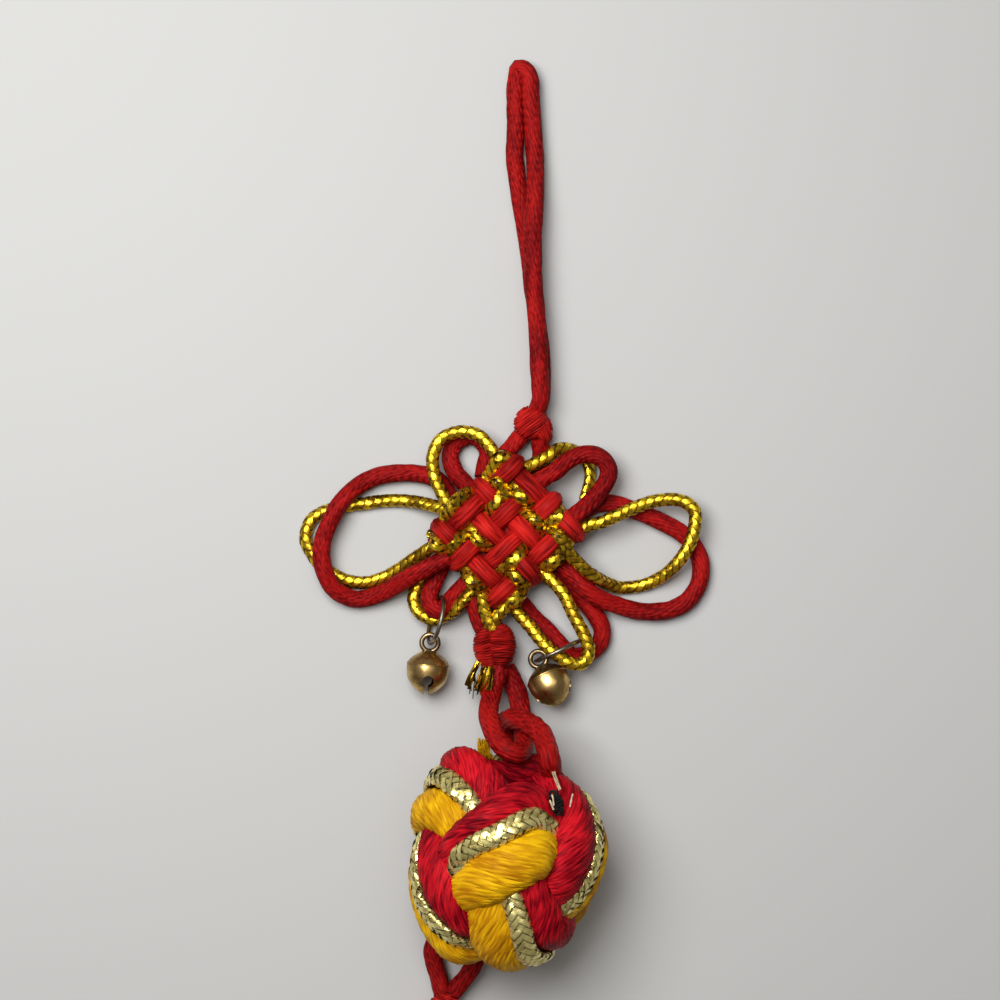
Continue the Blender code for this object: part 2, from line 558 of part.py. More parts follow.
def make_tassel():
    """Head and skirt are one bundle of silk, folded over and tied at the neck."""
    bm = bmesh.new()
    rings = []
    for section in SECTIONS:
        share = section["down"] / SECTIONS[-1]["down"]
        middle_x = TASSEL_TOP[0] + TASSEL_DRIFT * share * share
        lifted = section["down"] < 12.5
        middle_z = NECK_HEIGHT if lifted else section["high"]
        ring = []
        for i in range(TASSEL_AROUND):
            phi = 2 * math.pi * i / TASSEL_AROUND
            fold = 1 - section["fold"] * (0.5 + 0.5 * math.cos(9 * phi + 0.6 * math.sin(2 * phi)))
            x = middle_x + section["wide"] * math.cos(phi) * fold
            z = middle_z + section["high"] * math.sin(phi) * fold
            y = TASSEL_TOP[1] - section["down"]
            ring.append(bm.verts.new((x * MM, y * MM, max(z, 0.0) * MM)))
        rings.append(ring)
    for upper, lower in zip(rings, rings[1:]):
        for i in range(TASSEL_AROUND):
            k = (i + 1) % TASSEL_AROUND
            bm.faces.new((upper[i], upper[k], lower[k], lower[i]))
    bm.faces.new(rings[0])
    bm.faces.new(rings[-1])
    bmesh.ops.triangulate(bm, faces=bm.faces)
    return finish("tassel", mesh_from_bmesh("tassel", bm), red_silk("tassel"))


def make_neck_binding():
    """Turns of thread round the tassel's neck, as one band with rounded edges."""
    middle_x = TASSEL_TOP[0] + 0.03
    inner, outer = NECK_R + 0.35, NECK_R + 0.85
    profile = [(inner, 0.35), (inner, 1.85), (outer - 0.1, 1.85), (outer, 1.6), (outer, 0.6), (outer - 0.1, 0.35)]
    bm = bmesh.new()
    rings = []
    around = 32
    for radius, down in profile:
        ring = []
        for i in range(around):
            phi = 2 * math.pi * i / around
            y = TASSEL_TOP[1] - NECK_FROM - down
            z = NECK_HEIGHT + radius * math.sin(phi)
            ring.append(bm.verts.new(((middle_x + radius * math.cos(phi)) * MM, y * MM, max(z, 0.0) * MM)))
        rings.append(ring)
    for first, second in zip(rings, rings[1:] + rings[:1]):
        for i in range(around):
            k = (i + 1) % around
            bm.faces.new((first[i], first[k], second[k], second[i]))
    return finish("neck_binding", mesh_from_bmesh("neck_binding", bm), gold_braid("neck_binding"))


make_tassel()
make_neck_binding()


# ---------------------------------------------------------------- rings and bells


def frame_matrix(origin, x_axis, z_axis):
    """A placing matrix from an origin in millimetres, an X direction and a Z direction."""
    z = Vector(z_axis).normalized()
    x = (Vector(x_axis) - z * Vector(x_axis).dot(z)).normalized()
    y = z.cross(x)
    turn = Matrix((x, y, z)).transposed().to_4x4()
    return Matrix.Translation(Vector(origin) * MM) @ turn


def add_torus(bm, major, minor, around, section, matrix):
    rings = []
    for i in range(around):
        phi = 2 * math.pi * i / around
        ring = []
        for j in range(section):
            psi = 2 * math.pi * j / section
            radius = major + minor * math.cos(psi)
            place = Vector((radius * math.cos(phi), radius * math.sin(phi), minor * math.sin(psi)))
            ring.append(bm.verts.new(matrix @ (place * MM)))
        rings.append(ring)
    for i in range(around):
        first, second = rings[i], rings[(i + 1) % around]
        for j in range(section):
            k = (j + 1) % section
            bm.faces.new((first[j], second[j], second[k], first[k]))


def make_ring(name, eye_end, direction, lean):
    """A closed steel ring standing on edge; the bell's eye hangs on one end of it."""
    along = Vector((*direction, 0)).normalized()
    beside = Vector((along.y, -along.x, 0))
    upright = beside * math.sin(math.radians(lean)) + Vector((0, 0, 1)) * math.cos(math.radians(lean))
    centre = Vector(eye_end) + along * RING_R
    bm = bmesh.new()
    add_torus(bm, RING_R, RING_WIRE, 28, 6, frame_matrix(centre, along, along.cross(upright)))
    material = make_material(name + "_steel", (0.28, 0.26, 0.23), 0.35, 1.0)
    return finish(name, mesh_from_bmesh(name, bm), material)


def bell_profile():
    """Outer side of the bell, from the crown by the eye down to the foot: (radius, down)."""
    outer = [(0.0, -1.9), (1.05, -1.8), (1.9, -1.45), (2.55, -0.8), (2.88, -0.14)]
    outer += [(BELL_R, -0.1), (BELL_R, 0.1), (2.92, 0.14)]
    outer += [(2.93, 0.9), (2.75, 1.9), (2.25, 2.9), (1.35, 3.8), (0.0, 4.25)]
    return outer


def make_bell(name, eye, direction, rise, roll):
    """A crimped brass bell with its eye, hollow, slotted across the foot."""
    flat = Vector((*direction, 0)).normalized() * math.cos(math.radians(rise))
    axis = flat + Vector((0, 0, math.sin(math.radians(rise))))
    side = Vector((0, 0, 1)).cross(axis).normalized()
    up = axis.cross(side)
    rolled = up * math.cos(math.radians(roll)) + side * math.sin(math.radians(roll))
    seam = Vector(eye) + axis * BELL_SEAM_FROM_EYE
    # local frame: Z down the bell, X the way the slot runs
    place = frame_matrix(seam, rolled, axis)

    def shell(bm, profile, around=20):
        poles, rows = [], []
        for radius, down in profile:
            if radius == 0.0:
                poles.append(bm.verts.new(place @ (Vector((0, 0, down)) * MM)))
                continue
            row = []
            for i in range(around):
                phi = 2 * math.pi * i / around
                spot = Vector((radius * math.cos(phi), radius * math.sin(phi), down))
                row.append(bm.verts.new(place @ (spot * MM)))
            rows.append(row)
        for upper, lower in zip(rows, rows[1:]):
            for i in range(around):
                k = (i + 1) % around
                bm.faces.new((upper[i], upper[k], lower[k], lower[i]))
        for i in range(around):
            k = (i + 1) % around
            bm.faces.new((poles[0], rows[0][k], rows[0][i]))
            bm.faces.new((poles[1], rows[-1][i], rows[-1][k]))

    bm = bmesh.new()
    shell(bm, bell_profile())
    bell = finish(name, mesh_from_bmesh(name, bm), brass(name))

    def cutter(label, bm_cut, operation):
        mesh = mesh_from_bmesh(label, bm_cut)
        tool = bpy.data.objects.new(label, mesh)
        bpy.context.scene.collection.objects.link(tool)
        tool.hide_render = True
        tool.display_type = "WIRE"
        step = bell.modifiers.new(label, "BOOLEAN")
        step.operation = operation
        step.solver = "EXACT"
        step.object = tool

    eye_bm = bmesh.new()
    eye_place = frame_matrix(eye, axis, up)
    add_torus(eye_bm, BELL_EYE_R, BELL_EYE_WIRE, 18, 6, eye_place)
    cutter(name + "_eye_tool", eye_bm, "UNION")

    hollow = bmesh.new()
    inner = [(0.0, -1.85 + BELL_WALL), (1.6, -1.35 + BELL_WALL), (2.45, -0.3), (2.55, 0.9)]
    inner += [(2.3, 2.0), (1.75, 2.9), (1.0, 3.55), (0.0, 4.3 - BELL_WALL)]
    shell(hollow, inner, 14)
    cutter(name + "_hollow_tool", hollow, "DIFFERENCE")

    slot = bmesh.new()
    slot_half, slot_from, hole_r = 0.3, 2.3, 0.8
    bmesh.ops.create_cube(slot, size=1.0)
    bmesh.ops.scale(slot, vec=Vector((8.0, 2 * slot_half, 3.0)) * MM, verts=slot.verts)
    bmesh.ops.translate(slot, vec=Vector((0, 0, slot_from + 1.5)) * MM, verts=slot.verts)
    bmesh.ops.transform(slot, matrix=place, verts=slot.verts)
    cutter(name + "_slot_tool", slot, "DIFFERENCE")

    hole = bmesh.new()
    bmesh.ops.create_cone(
        hole, cap_ends=True, segments=10, radius1=hole_r * MM, radius2=hole_r * MM, depth=8 * MM
    )
    lay = Matrix.Rotation(math.pi / 2, 4, "Y")
    across = Matrix.Translation(Vector((0, 0, slot_from)) * MM) @ lay
    bmesh.ops.transform(hole, matrix=place @ across, verts=hole.verts)
    cutter(name + "_hole_tool", hole, "DIFFERENCE")
    return bell


# Where each ring's end wire stands in its bell's eye, and which way ring and bell point
LEFT_EYE = (-10.5, 23.4, 3.65)
RIGHT_EYE = (4.2, 20.9, 3.65)
make_ring("ring_left", LEFT_EYE, (0.25, 0.97), 13)
make_ring("ring_right", RIGHT_EYE, (0.905, 0.425), -2)
make_bell("bell_left", (LEFT_EYE[0], LEFT_EYE[1], 3.05), (-0.08, -1.0), 0, 4)
make_bell("bell_right", (RIGHT_EYE[0] + 0.4, RIGHT_EYE[1] + 0.2, 2.1), (0.42, -0.91), 18, 90)
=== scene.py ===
"""A knotted silk hanging ornament lying face up on a pale table.

The file follows the ornament from the hanging loop down to the tassel.  Sizes and routes
are in millimetres, in the frame of the solids; meshes are made in metres.
"""

import math

import bmesh
import bpy
import numpy as np
from mathutils import Matrix, Vector


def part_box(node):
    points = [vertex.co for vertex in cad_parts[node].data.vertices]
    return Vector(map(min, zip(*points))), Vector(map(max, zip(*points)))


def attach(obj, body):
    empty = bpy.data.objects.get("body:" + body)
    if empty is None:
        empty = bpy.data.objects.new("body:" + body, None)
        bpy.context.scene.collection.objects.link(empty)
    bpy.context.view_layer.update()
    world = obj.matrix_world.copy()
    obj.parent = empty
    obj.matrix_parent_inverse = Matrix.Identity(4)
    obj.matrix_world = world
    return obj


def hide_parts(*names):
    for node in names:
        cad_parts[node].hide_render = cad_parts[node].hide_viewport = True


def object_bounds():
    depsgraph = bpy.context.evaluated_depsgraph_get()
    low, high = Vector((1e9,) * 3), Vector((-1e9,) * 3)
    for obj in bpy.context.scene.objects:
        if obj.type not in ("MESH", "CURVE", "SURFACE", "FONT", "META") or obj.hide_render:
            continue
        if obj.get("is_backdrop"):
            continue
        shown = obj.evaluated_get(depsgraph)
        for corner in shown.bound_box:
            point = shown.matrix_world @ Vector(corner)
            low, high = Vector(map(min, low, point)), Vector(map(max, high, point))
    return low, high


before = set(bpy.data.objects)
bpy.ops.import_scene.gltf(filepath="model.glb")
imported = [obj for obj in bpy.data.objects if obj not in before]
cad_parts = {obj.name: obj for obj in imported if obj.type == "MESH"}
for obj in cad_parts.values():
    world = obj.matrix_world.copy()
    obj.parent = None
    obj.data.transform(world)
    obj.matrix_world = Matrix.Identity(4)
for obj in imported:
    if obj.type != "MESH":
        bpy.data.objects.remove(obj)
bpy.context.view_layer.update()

MM = 0.001

# ------------------------------------------------------------ camera
# The ornament is seen from straight above, with the loop at the top.  The view is
# 140 mm wide at the table.
CAMERA_HIGH = 400
VIEW_WIDE = 140
camera = bpy.data.objects.new("camera", bpy.data.cameras.new("camera"))
bpy.context.scene.collection.objects.link(camera)
bpy.context.scene.camera = camera
camera.location = (-0.77 * MM, 43.25 * MM, CAMERA_HIGH * MM)
camera.rotation_euler = (0, 0, 0)
camera.data.sensor_width = 36
camera.data.lens = camera.data.sensor_width * CAMERA_HIGH / VIEW_WIDE
camera.data.clip_start = 0.01
camera.data.clip_end = 10
camera.data.dof.use_dof = False
bpy.context.scene.view_settings.view_transform = "Standard"


# ------------------------------------------------------------ hanging loop
# A length of plied silk cord bent double: thirteen yarns laid with a slight twist round
# a core.  Both its ends are drawn into the top knot.
CORD_R = 1.25
YARNS = 13
YARN_R = 0.24  # how far a yarn stands out of the cord
YARN_LAY = 0.20  # turn of the yarns round the cord, in radians a millimetre
CORD_STEP = 0.4


def smooth_route(points, step):
    """Points every `step` millimetres on a smooth curve through a route's own points."""
    route = np.array(points, dtype=float)
    knots = np.r_[0, np.cumsum(np.sqrt(np.linalg.norm(np.diff(route, axis=0), axis=1)))]
    slopes = np.empty_like(route)
    slopes[0] = (route[1] - route[0]) / (knots[1] - knots[0])
    slopes[-1] = (route[-1] - route[-2]) / (knots[-1] - knots[-2])
    for i in range(1, len(route) - 1):
        before = (route[i] - route[i - 1]) / (knots[i] - knots[i - 1])
        after = (route[i + 1] - route[i]) / (knots[i + 1] - knots[i])
        across = (route[i + 1] - route[i - 1]) / (knots[i + 1] - knots[i - 1])
        slopes[i] = before + after - across
    fine = []
    for i in range(len(route) - 1):
        span = knots[i + 1] - knots[i]
        for s in np.linspace(0, 1, 24, endpoint=False):
            fine.append(
                (2 * s**3 - 3 * s**2 + 1) * route[i]
                + (s**3 - 2 * s**2 + s) * span * slopes[i]
                + (3 * s**2 - 2 * s**3) * route[i + 1]
                + (s**3 - s**2) * span * slopes[i + 1]
            )
    fine.append(route[-1])
    fine = np.array(fine)
    travelled = along(fine)
    count = max(3, round(travelled[-1] / step) + 1)
    stations = np.linspace(0, travelled[-1], count)
    return np.stack([np.interp(stations, travelled, fine[:, k]) for k in range(3)], axis=1)


def along(line):
    """How far along a line each of its points is."""
    return np.r_[0, np.cumsum(np.linalg.norm(np.diff(line, axis=0), axis=1))]


def unit(vectors):
    """Vectors brought to length one."""
    return vectors / np.maximum(np.linalg.norm(vectors, axis=-1, keepdims=True), 1e-9)


def directions(line, closed=False):
    """Which way a line runs, and two sideways directions that turn as little as possible."""
    if closed:
        ahead = unit(np.roll(line, -1, axis=0) - np.roll(line, 1, axis=0))
    else:
        ahead = unit(np.gradient(line, axis=0))
    side = np.empty_like(line)
    first = np.cross(ahead[0], (0.0, 0.0, 1.0))
    if np.linalg.norm(first) < 0.1:
        first = np.cross(ahead[0], (1.0, 0.0, 0.0))
    side[0] = first / np.linalg.norm(first)
    for i in range(1, len(line)):
        carried = side[i - 1] - ahead[i] * side[i - 1].dot(ahead[i])
        side[i] = carried / np.linalg.norm(carried)
    if closed:
        # share out the turn that is left over when the line comes back to its start
        last = side[-1] - ahead[0] * side[-1].dot(ahead[0])
        last /= np.linalg.norm(last)
        left_over = math.atan2(np.cross(last, side[0]).dot(ahead[0]), last.dot(side[0]))
        turn = left_over * np.arange(len(line))[:, None] / len(line)
        side = side * np.cos(turn) + np.cross(ahead, side) * np.sin(turn)
    return ahead, side, np.cross(ahead, side)


def make_piece(name, tubes, material, crisp=False):
    """One mesh of many thin tubes, with crisp edges where the tubes are flat strips.

    Each tube is its rings of points, how far along each ring is, its own shade from
    0 to 1, and whether it closes on itself.  What would sink into the table is flattened.
    """
    coords, corners, starts, uvs, shades = [], [], [], [], []
    base, loops = 0, 0
    for rings, distance, shade, closed in tubes:
        n, k, _ = rings.shape
        coords.append(np.maximum(rings.reshape(-1, 3), (-999.0, -999.0, 0.0)) * MM)
        shades.append(np.full(n * k, shade))
        i = np.arange(n if closed else n - 1)[:, None]
        j = np.arange(k)[None, :]
        following = (i + 1) % n
        beside = (j + 1) % k
        quad = np.stack(
            [i * k + j, i * k + beside, following * k + beside, following * k + j], axis=-1
        )
        corners.append(quad.reshape(-1) + base)
        starts.append(loops + 4 * np.arange(quad.shape[0] * quad.shape[1]))
        loops += quad.size
        here = np.broadcast_to(distance[: len(i)][:, None], quad.shape[:2])
        spacing = distance[1] - distance[0]
        low = np.broadcast_to(j / k, quad.shape[:2])
        high = low + 1 / k
        lay = np.stack([here, low, here, high, here + spacing, high, here + spacing, low], axis=-1)
        uvs.append(lay.reshape(-1))
        if not closed:
            for ring, order in ((0, np.arange(k)[::-1]), (n - 1, np.arange(k))):
                corners.append(base + ring * k + order)
                starts.append(np.array([loops]))
                loops += k
                uvs.append(np.stack([np.full(k, distance[ring]), order / k], axis=-1).reshape(-1))
        base += n * k
    mesh = bpy.data.meshes.new(name)
    coords = np.concatenate(coords)
    corners = np.concatenate(corners)
    starts = np.concatenate(starts)
    mesh.vertices.add(len(coords))
    mesh.vertices.foreach_set("co", coords.ravel())
    mesh.loops.add(len(corners))
    mesh.loops.foreach_set("vertex_index", corners.astype(np.int32))
    mesh.polygons.add(len(starts))
    mesh.polygons.foreach_set("loop_start", starts.astype(np.int32))
    mesh.update(calc_edges=True)
    lay_map = mesh.uv_layers.new(name="lay")
    lay_map.data.foreach_set("uv", np.concatenate(uvs))
    yarn_shade = mesh.attributes.new("yarn_shade", "FLOAT", "POINT")
    yarn_shade.data.foreach_set("value", np.concatenate(shades))
    mesh.shade_smooth()
    if crisp:
        mesh.set_sharp_from_angle(angle=math.radians(70))
    mesh.materials.append(material)
    piece = bpy.data.objects.new(name, mesh)
    bpy.context.scene.collection.objects.link(piece)
    return piece


def round_rings(line, side, up, radius, corners=6):
    """Rings of one radius round a line."""
    angle = 2 * math.pi * np.arange(corners)[None, :, None] / corners
    return line[:, None, :] + radius * (np.cos(angle) * side[:, None, :] + np.sin(angle) * up[:, None, :])


def plain_tube(line, radius, corners, shade, closed=False, wide=1.0, high=1.0):
    """A round tube along a line, or an oval one `wide` and `high` times the radius."""
    _, side, up = directions(line, closed)
    return round_rings(line, side * wide, up * high, radius, corners), along(line), shade, closed


def fit_piece(piece, finish, *nodes, body="ornament"):
    """A piece rides on its body and stands for its solids, if it has any; `finish` is not used."""
    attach(piece, body)
    if nodes:
        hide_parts(*nodes)


def lay_yarns(line, seed, radius=CORD_R, yarns=YARNS, yarn_r=YARN_R, lay=YARN_LAY, closed=False,
              lie=None, high=None, corners=4):
    """The tubes of a cord's yarns laid round its line, and its core.

    `lie` gives the line's directions, and `radius` and `high` its half width and half
    height, as numbers or one for each point of the line.
    """
    rng = np.random.default_rng(seed)
    ahead, side, up = lie or directions(line, closed)
    wide = np.broadcast_to(radius, len(line)).astype(float)
    high = wide if high is None else np.broadcast_to(high, len(line)).astype(float)
    s = along(line)
    if closed:
        s = np.arange(len(line)) * (s[-1] / (len(line) - 1))
        total = s[-1] + s[1]
        lay = 2 * math.pi * round(lay * total / (2 * math.pi)) / total
    else:
        total = s[-1]
    core_side, core_up = ((half - 1.3 * yarn_r)[:, None] * way for half, way in ((wide, side), (high, up)))
    # The core has shade 0, so a silk's colour mix gives it its deepest colour: painted shade in the gaps
    # between the yarns.
    tubes = [(round_rings(line, core_side, core_up, 1.0, 16), s, 0.0, closed)]
    beside = math.pi * (wide.mean() + high.mean() - 2 * yarn_r) / 2 / yarns * 1.45
    pitch = 2 * math.pi / yarns
    corner = 2 * math.pi * np.arange(corners)[None, :, None] / corners
    for k in range(yarns):
        slow = 2 * math.pi * rng.integers(1, 3 + int(total / 14)) / total
        quick = 2 * math.pi * rng.integers(3 + int(total / 9), 5 + int(total / 4)) / total
        sway = 0.17 * np.sin(slow * s + rng.uniform(0, 6.3)) + 0.10 * np.sin(quick * s + rng.uniform(0, 6.3))
        angle = (pitch * (k + rng.uniform(-0.12, 0.12) + sway) + lay * s)[:, None]
        swollen = 1 + 0.03 * np.sin(slow * s * 2 + rng.uniform(0, 6.3))[:, None]
        reach_side = (wide[:, None] - yarn_r) * swollen
        reach_up = (high[:, None] - yarn_r) * swollen
        middle = line + np.cos(angle) * reach_side * side + np.sin(angle) * reach_up * up
        away = unit(np.cos(angle) / reach_side * side + np.sin(angle) / reach_up * up)
        around = np.cross(ahead, away)
        slant = np.sqrt(1 + (lay * (reach_side + reach_up) / 2) ** 2)
        thin = rng.uniform(0.85, 1.15)
        rings = (
            middle[:, None, :]
            + yarn_r * thin * np.cos(corner) * away[:, None, :]
            + beside * thin * slant[:, :, None] * np.sin(corner) * around[:, None, :]
        )
        tubes.append((rings, s, rng.uniform(0.15, 1.0), closed))
    return tubes


def shader_of(name):
    """A new material, its nodes and its shader."""
    material = bpy.data.materials.new(name)
    material.use_nodes = True
    nodes = material.node_tree.nodes
    return material, nodes, material.node_tree.links, nodes["Principled BSDF"]


def new_group(name, inputs, outputs):
    """An empty node group; inputs and outputs are (name, socket type, value)."""
    group = bpy.data.node_groups.new(name, "ShaderNodeTree")
    for label, kind, value in inputs:
        socket = group.interface.new_socket(label, in_out="INPUT", socket_type=kind)
        socket.default_value = value
    for label, kind in outputs:
        group.interface.new_socket(label, in_out="OUTPUT", socket_type=kind)
    return group, group.nodes.new("NodeGroupInput"), group.nodes.new("NodeGroupOutput")


def math_node(tree, operation, first, second=None, third=None):
    """A Math node; each value is a socket or a number."""
    node = tree.nodes.new("ShaderNodeMath")
    node.operation = operation
    for k, value in enumerate((first, second, third)):
        if value is None:
            continue
        if isinstance(value, (int, float)):
            node.inputs[k].default_value = value
        else:
            tree.links.new(value, node.inputs[k])
    return node.outputs[0]


def lay_nodes(tree):
    """How far along and how far round its tube a place is, and the tube's own shade."""
    lay = tree.nodes.new("ShaderNodeUVMap")
    lay.uv_map = "lay"
    split = tree.nodes.new("ShaderNodeSeparateXYZ")
    tree.links.new(lay.outputs["UV"], split.inputs[0])
    shade = tree.nodes.new("ShaderNodeAttribute")
    shade.attribute_name = "yarn_shade"
    return split.outputs["X"], split.outputs["Y"], shade.outputs["Fac"]


def spot_node(tree, *parts):
    """A place in a pattern, made of two or three values."""
    node = tree.nodes.new("ShaderNodeCombineXYZ")
    for socket, value in zip(node.inputs, parts):
        tree.links.new(value, socket)
    return node.outputs[0]


def noise_node(tree, place, scale, detail):
    node = tree.nodes.new("ShaderNodeTexNoise")
    node.inputs["Scale"].default_value = scale
    node.inputs["Detail"].default_value = detail
    tree.links.new(place, node.inputs["Vector"])
    return node.outputs["Fac"]


def colour_mix(tree, factor, first, second):
    node = tree.nodes.new("ShaderNodeMix")
    node.data_type = "RGBA"
    for label, socket in (("Factor", factor), ("A", first), ("B", second)):
        tree.links.new(socket, node.inputs[label])
    return node.outputs["Result"]


# Fibres of a silk yarn: fine lines that wind round it and also paint glints on its plies, and slow patches of
# painted sheen that lighten and darken the cord along its length.
fibres, fibres_in, fibres_out = new_group(
    "silk_fibres",
    [("Lines", "NodeSocketFloat", 5.0), ("Wind", "NodeSocketFloat", 1.2),
     ("Deep", "NodeSocketColor", (0.3, 0, 0, 1)), ("Bright", "NodeSocketColor", (0.7, 0, 0, 1))],
    [("Color", "NodeSocketColor"), ("Height", "NodeSocketFloat"), ("Streak", "NodeSocketFloat")],
)
yarn_along, yarn_round, yarn_shade = lay_nodes(fibres)
sheen_patches = noise_node(fibres, fibres.nodes.new("ShaderNodeTexCoord").outputs["Object"], 120.0, 2.0)
lines_round = math_node(fibres, "MULTIPLY", yarn_round, fibres_in.outputs["Lines"])
winding = math_node(fibres, "MULTIPLY_ADD", yarn_along, fibres_in.outputs["Wind"], lines_round)
wave = math_node(fibres, "SINE", math_node(fibres, "MULTIPLY", winding, 2 * math.pi))
streak_place = spot_node(
    fibres,
    math_node(fibres, "MULTIPLY", yarn_along, 0.16),
    math_node(fibres, "MULTIPLY", winding, 1.3),
    math_node(fibres, "MULTIPLY", yarn_shade, 40.0),
)
streaks = noise_node(fibres, streak_place, 1.6, 3.0)
# Painted sheen: slow patches that lighten and darken the colour, where silk's sheen would shift with the
# light.
painted_sheen = math_node(fibres, "MULTIPLY_ADD", sheen_patches, 2.0, -1.0)
streaks_and_sheen = math_node(fibres, "MULTIPLY_ADD", streaks, 2.0, painted_sheen)
blend = math_node(fibres, "MULTIPLY_ADD", yarn_shade, 0.55, streaks_and_sheen)
# Painted glints: the ply wave lightens the colour along each ply as well as raising it.
blend = math_node(fibres, "SUBTRACT", math_node(fibres, "MULTIPLY_ADD", wave, 0.16, blend), 0.84)
for label, socket in (
    ("Color", colour_mix(fibres, blend, fibres_in.outputs["Deep"], fibres_in.outputs["Bright"])),
    ("Height", math_node(fibres, "MULTIPLY_ADD", wave, 0.30, streaks)),
    ("Streak", streaks),
):
    fibres.links.new(socket, fibres_out.inputs[label])


def patterned(name, pattern, values, strength, relief):
    """A material whose colour and relief come from a group, with its group and shader."""
    material, nodes, links, shader = shader_of(name)
    group = nodes.new("ShaderNodeGroup")
    group.node_tree = pattern
    for label, value in values.items():
        group.inputs[label].default_value = value if isinstance(value, float) else (*value, 1)
    links.new(group.outputs["Color"], shader.inputs["Base Color"])
    bump = nodes.new("ShaderNodeBump")
    bump.inputs["Strength"].default_value = strength
    bump.inputs["Distance"].default_value = relief
    links.new(group.outputs["Height"], bump.inputs["Height"])
    links.new(bump.outputs[0], shader.inputs["Normal"])
    return material, group, shader


def silk_material(name, deep, bright, roughness=0.5, lines=2.0, wind=0.9, relief=0.00013):
    """Dyed silk with painted sheen patches and painted glints in its colour, and a faint sheen."""
    values = {"Lines": lines, "Wind": wind, "Deep": deep, "Bright": bright}
    material, group, shader = patterned(name, fibres, values, 1.0, relief)
    gloss = material.node_tree.nodes.new("ShaderNodeMapRange")
    gloss.inputs["To Min"].default_value = roughness + 0.14
    gloss.inputs["To Max"].default_value = roughness - 0.1
    material.node_tree.links.new(group.outputs["Streak"], gloss.inputs["Value"])
    material.node_tree.links.new(gloss.outputs[0], shader.inputs["Roughness"])
    shader.inputs["Sheen Weight"].default_value = 0.10
    shader.inputs["Sheen Roughness"].default_value = 0.4
    shader.inputs["Sheen Tint"].default_value = (*bright, 1)
    shader.inputs["Specular IOR Level"].default_value = 0.18
    shader.inputs["Specular Tint"].default_value = (*(min(1.0, 0.25 + 1.2 * part) for part in bright), 1)
    return material


RED_DEEP = (0.120, 0.002, 0.003)
RED_BRIGHT = (0.36, 0.008, 0.007)
red_silk = silk_material("red_silk", RED_DEEP, RED_BRIGHT)
# A lit copy of the red cord's silk: the same cord, painted brighter and more orange where it bulges in the
# woven square and the knots and catches more light; its fibres also lie flatter there.
red_silk_lit = silk_material(
    "red_silk_lit", (0.115, 0.002, 0.002), (0.56, 0.015, 0.012), wind=0.3, relief=0.00010
)

HANGING_LOOP = [
    (4.8, 57.2, 4.05), (4.75, 59.3, 4.1), (4.6, 62.7, 4.1), (4.3, 68.2, 4.1),
    (3.9, 74.4, 4.1), (3.85, 80.0, 3.95), (4.1, 85.6, 3.2), (4.1, 90.5, 2.3),
    (3.8, 95.4, 2.2), (3.5, 99.6, 2.2), (3.4, 101.8, 2.1), (2.7, 103.2, 1.9),
    (1.8, 103.4, 1.6), (1.1, 102.3, 1.35), (0.9, 100.1, 1.25), (1.0, 95.6, 1.25),
    (1.3, 90.7, 1.25), (2.0, 85.8, 1.25), (2.9, 80.2, 1.25), (3.6, 74.7, 1.25),
    (4.4, 68.4, 1.25), (5.1, 62.8, 1.25), (5.1, 59.3, 1.25), (4.9, 57.1, 1.25),
]


def drawn_in(route, start=1.6, end=1.6):
    """A route with its ends carried on straight into the knots that hold them."""
    points = [np.array(p, dtype=float) for p in route]
    if start:
        points.insert(0, points[0] + (points[0] - points[1]) / np.linalg.norm(points[0] - points[1]) * start)
    if end:
        points.append(points[-1] + (points[-1] - points[-2]) / np.linalg.norm(points[-1] - points[-2]) * end)
    return points


def red_cord(name, route, seed, node, start=1.6, end=1.6, radius=CORD_R):
    """A plied red cord along its route, in the place of its solid."""
    line = smooth_route(drawn_in(route, start, end), CORD_STEP)
    piece = make_piece(name, lay_yarns(line, seed, radius), red_silk, crisp=True)
    fit_piece(piece, "red_silk", node)
    return piece, line


under_way = [(x + 0.45 * (k > 12 and y > 94), y, z) for k, (x, y, z) in enumerate(HANGING_LOOP)]
into_knot = [(4.2, 55.3, 3.0)] + under_way + [(4.3, 55.3, 2.0)]
loop_cord, loop_line = red_cord("silk_hanging_loop", into_knot, 11, "hanging_loop", 0, 0)

# ------------------------------------------------------------ red legs and ears
# The same cord comes out of the top knot as two legs, and leaves the woven square in
# a long loop, an ear, at each side and a short one at each corner.
LEG_LEFT = [(1.6, 51.5, 2.3), (0.8, 50.6, 2.5), (0.2, 49.9, 2.7)]
LEG_RIGHT = [(4.9, 50.5, 2.0), (5.0, 49.6, 1.6), (4.9, 48.6, 1.3), (4.7, 47.7, 1.25)]
red_cord("silk_leg_left", LEG_LEFT, 21, "leg_left")
red_cord("silk_leg_right", LEG_RIGHT, 22, "leg_right")

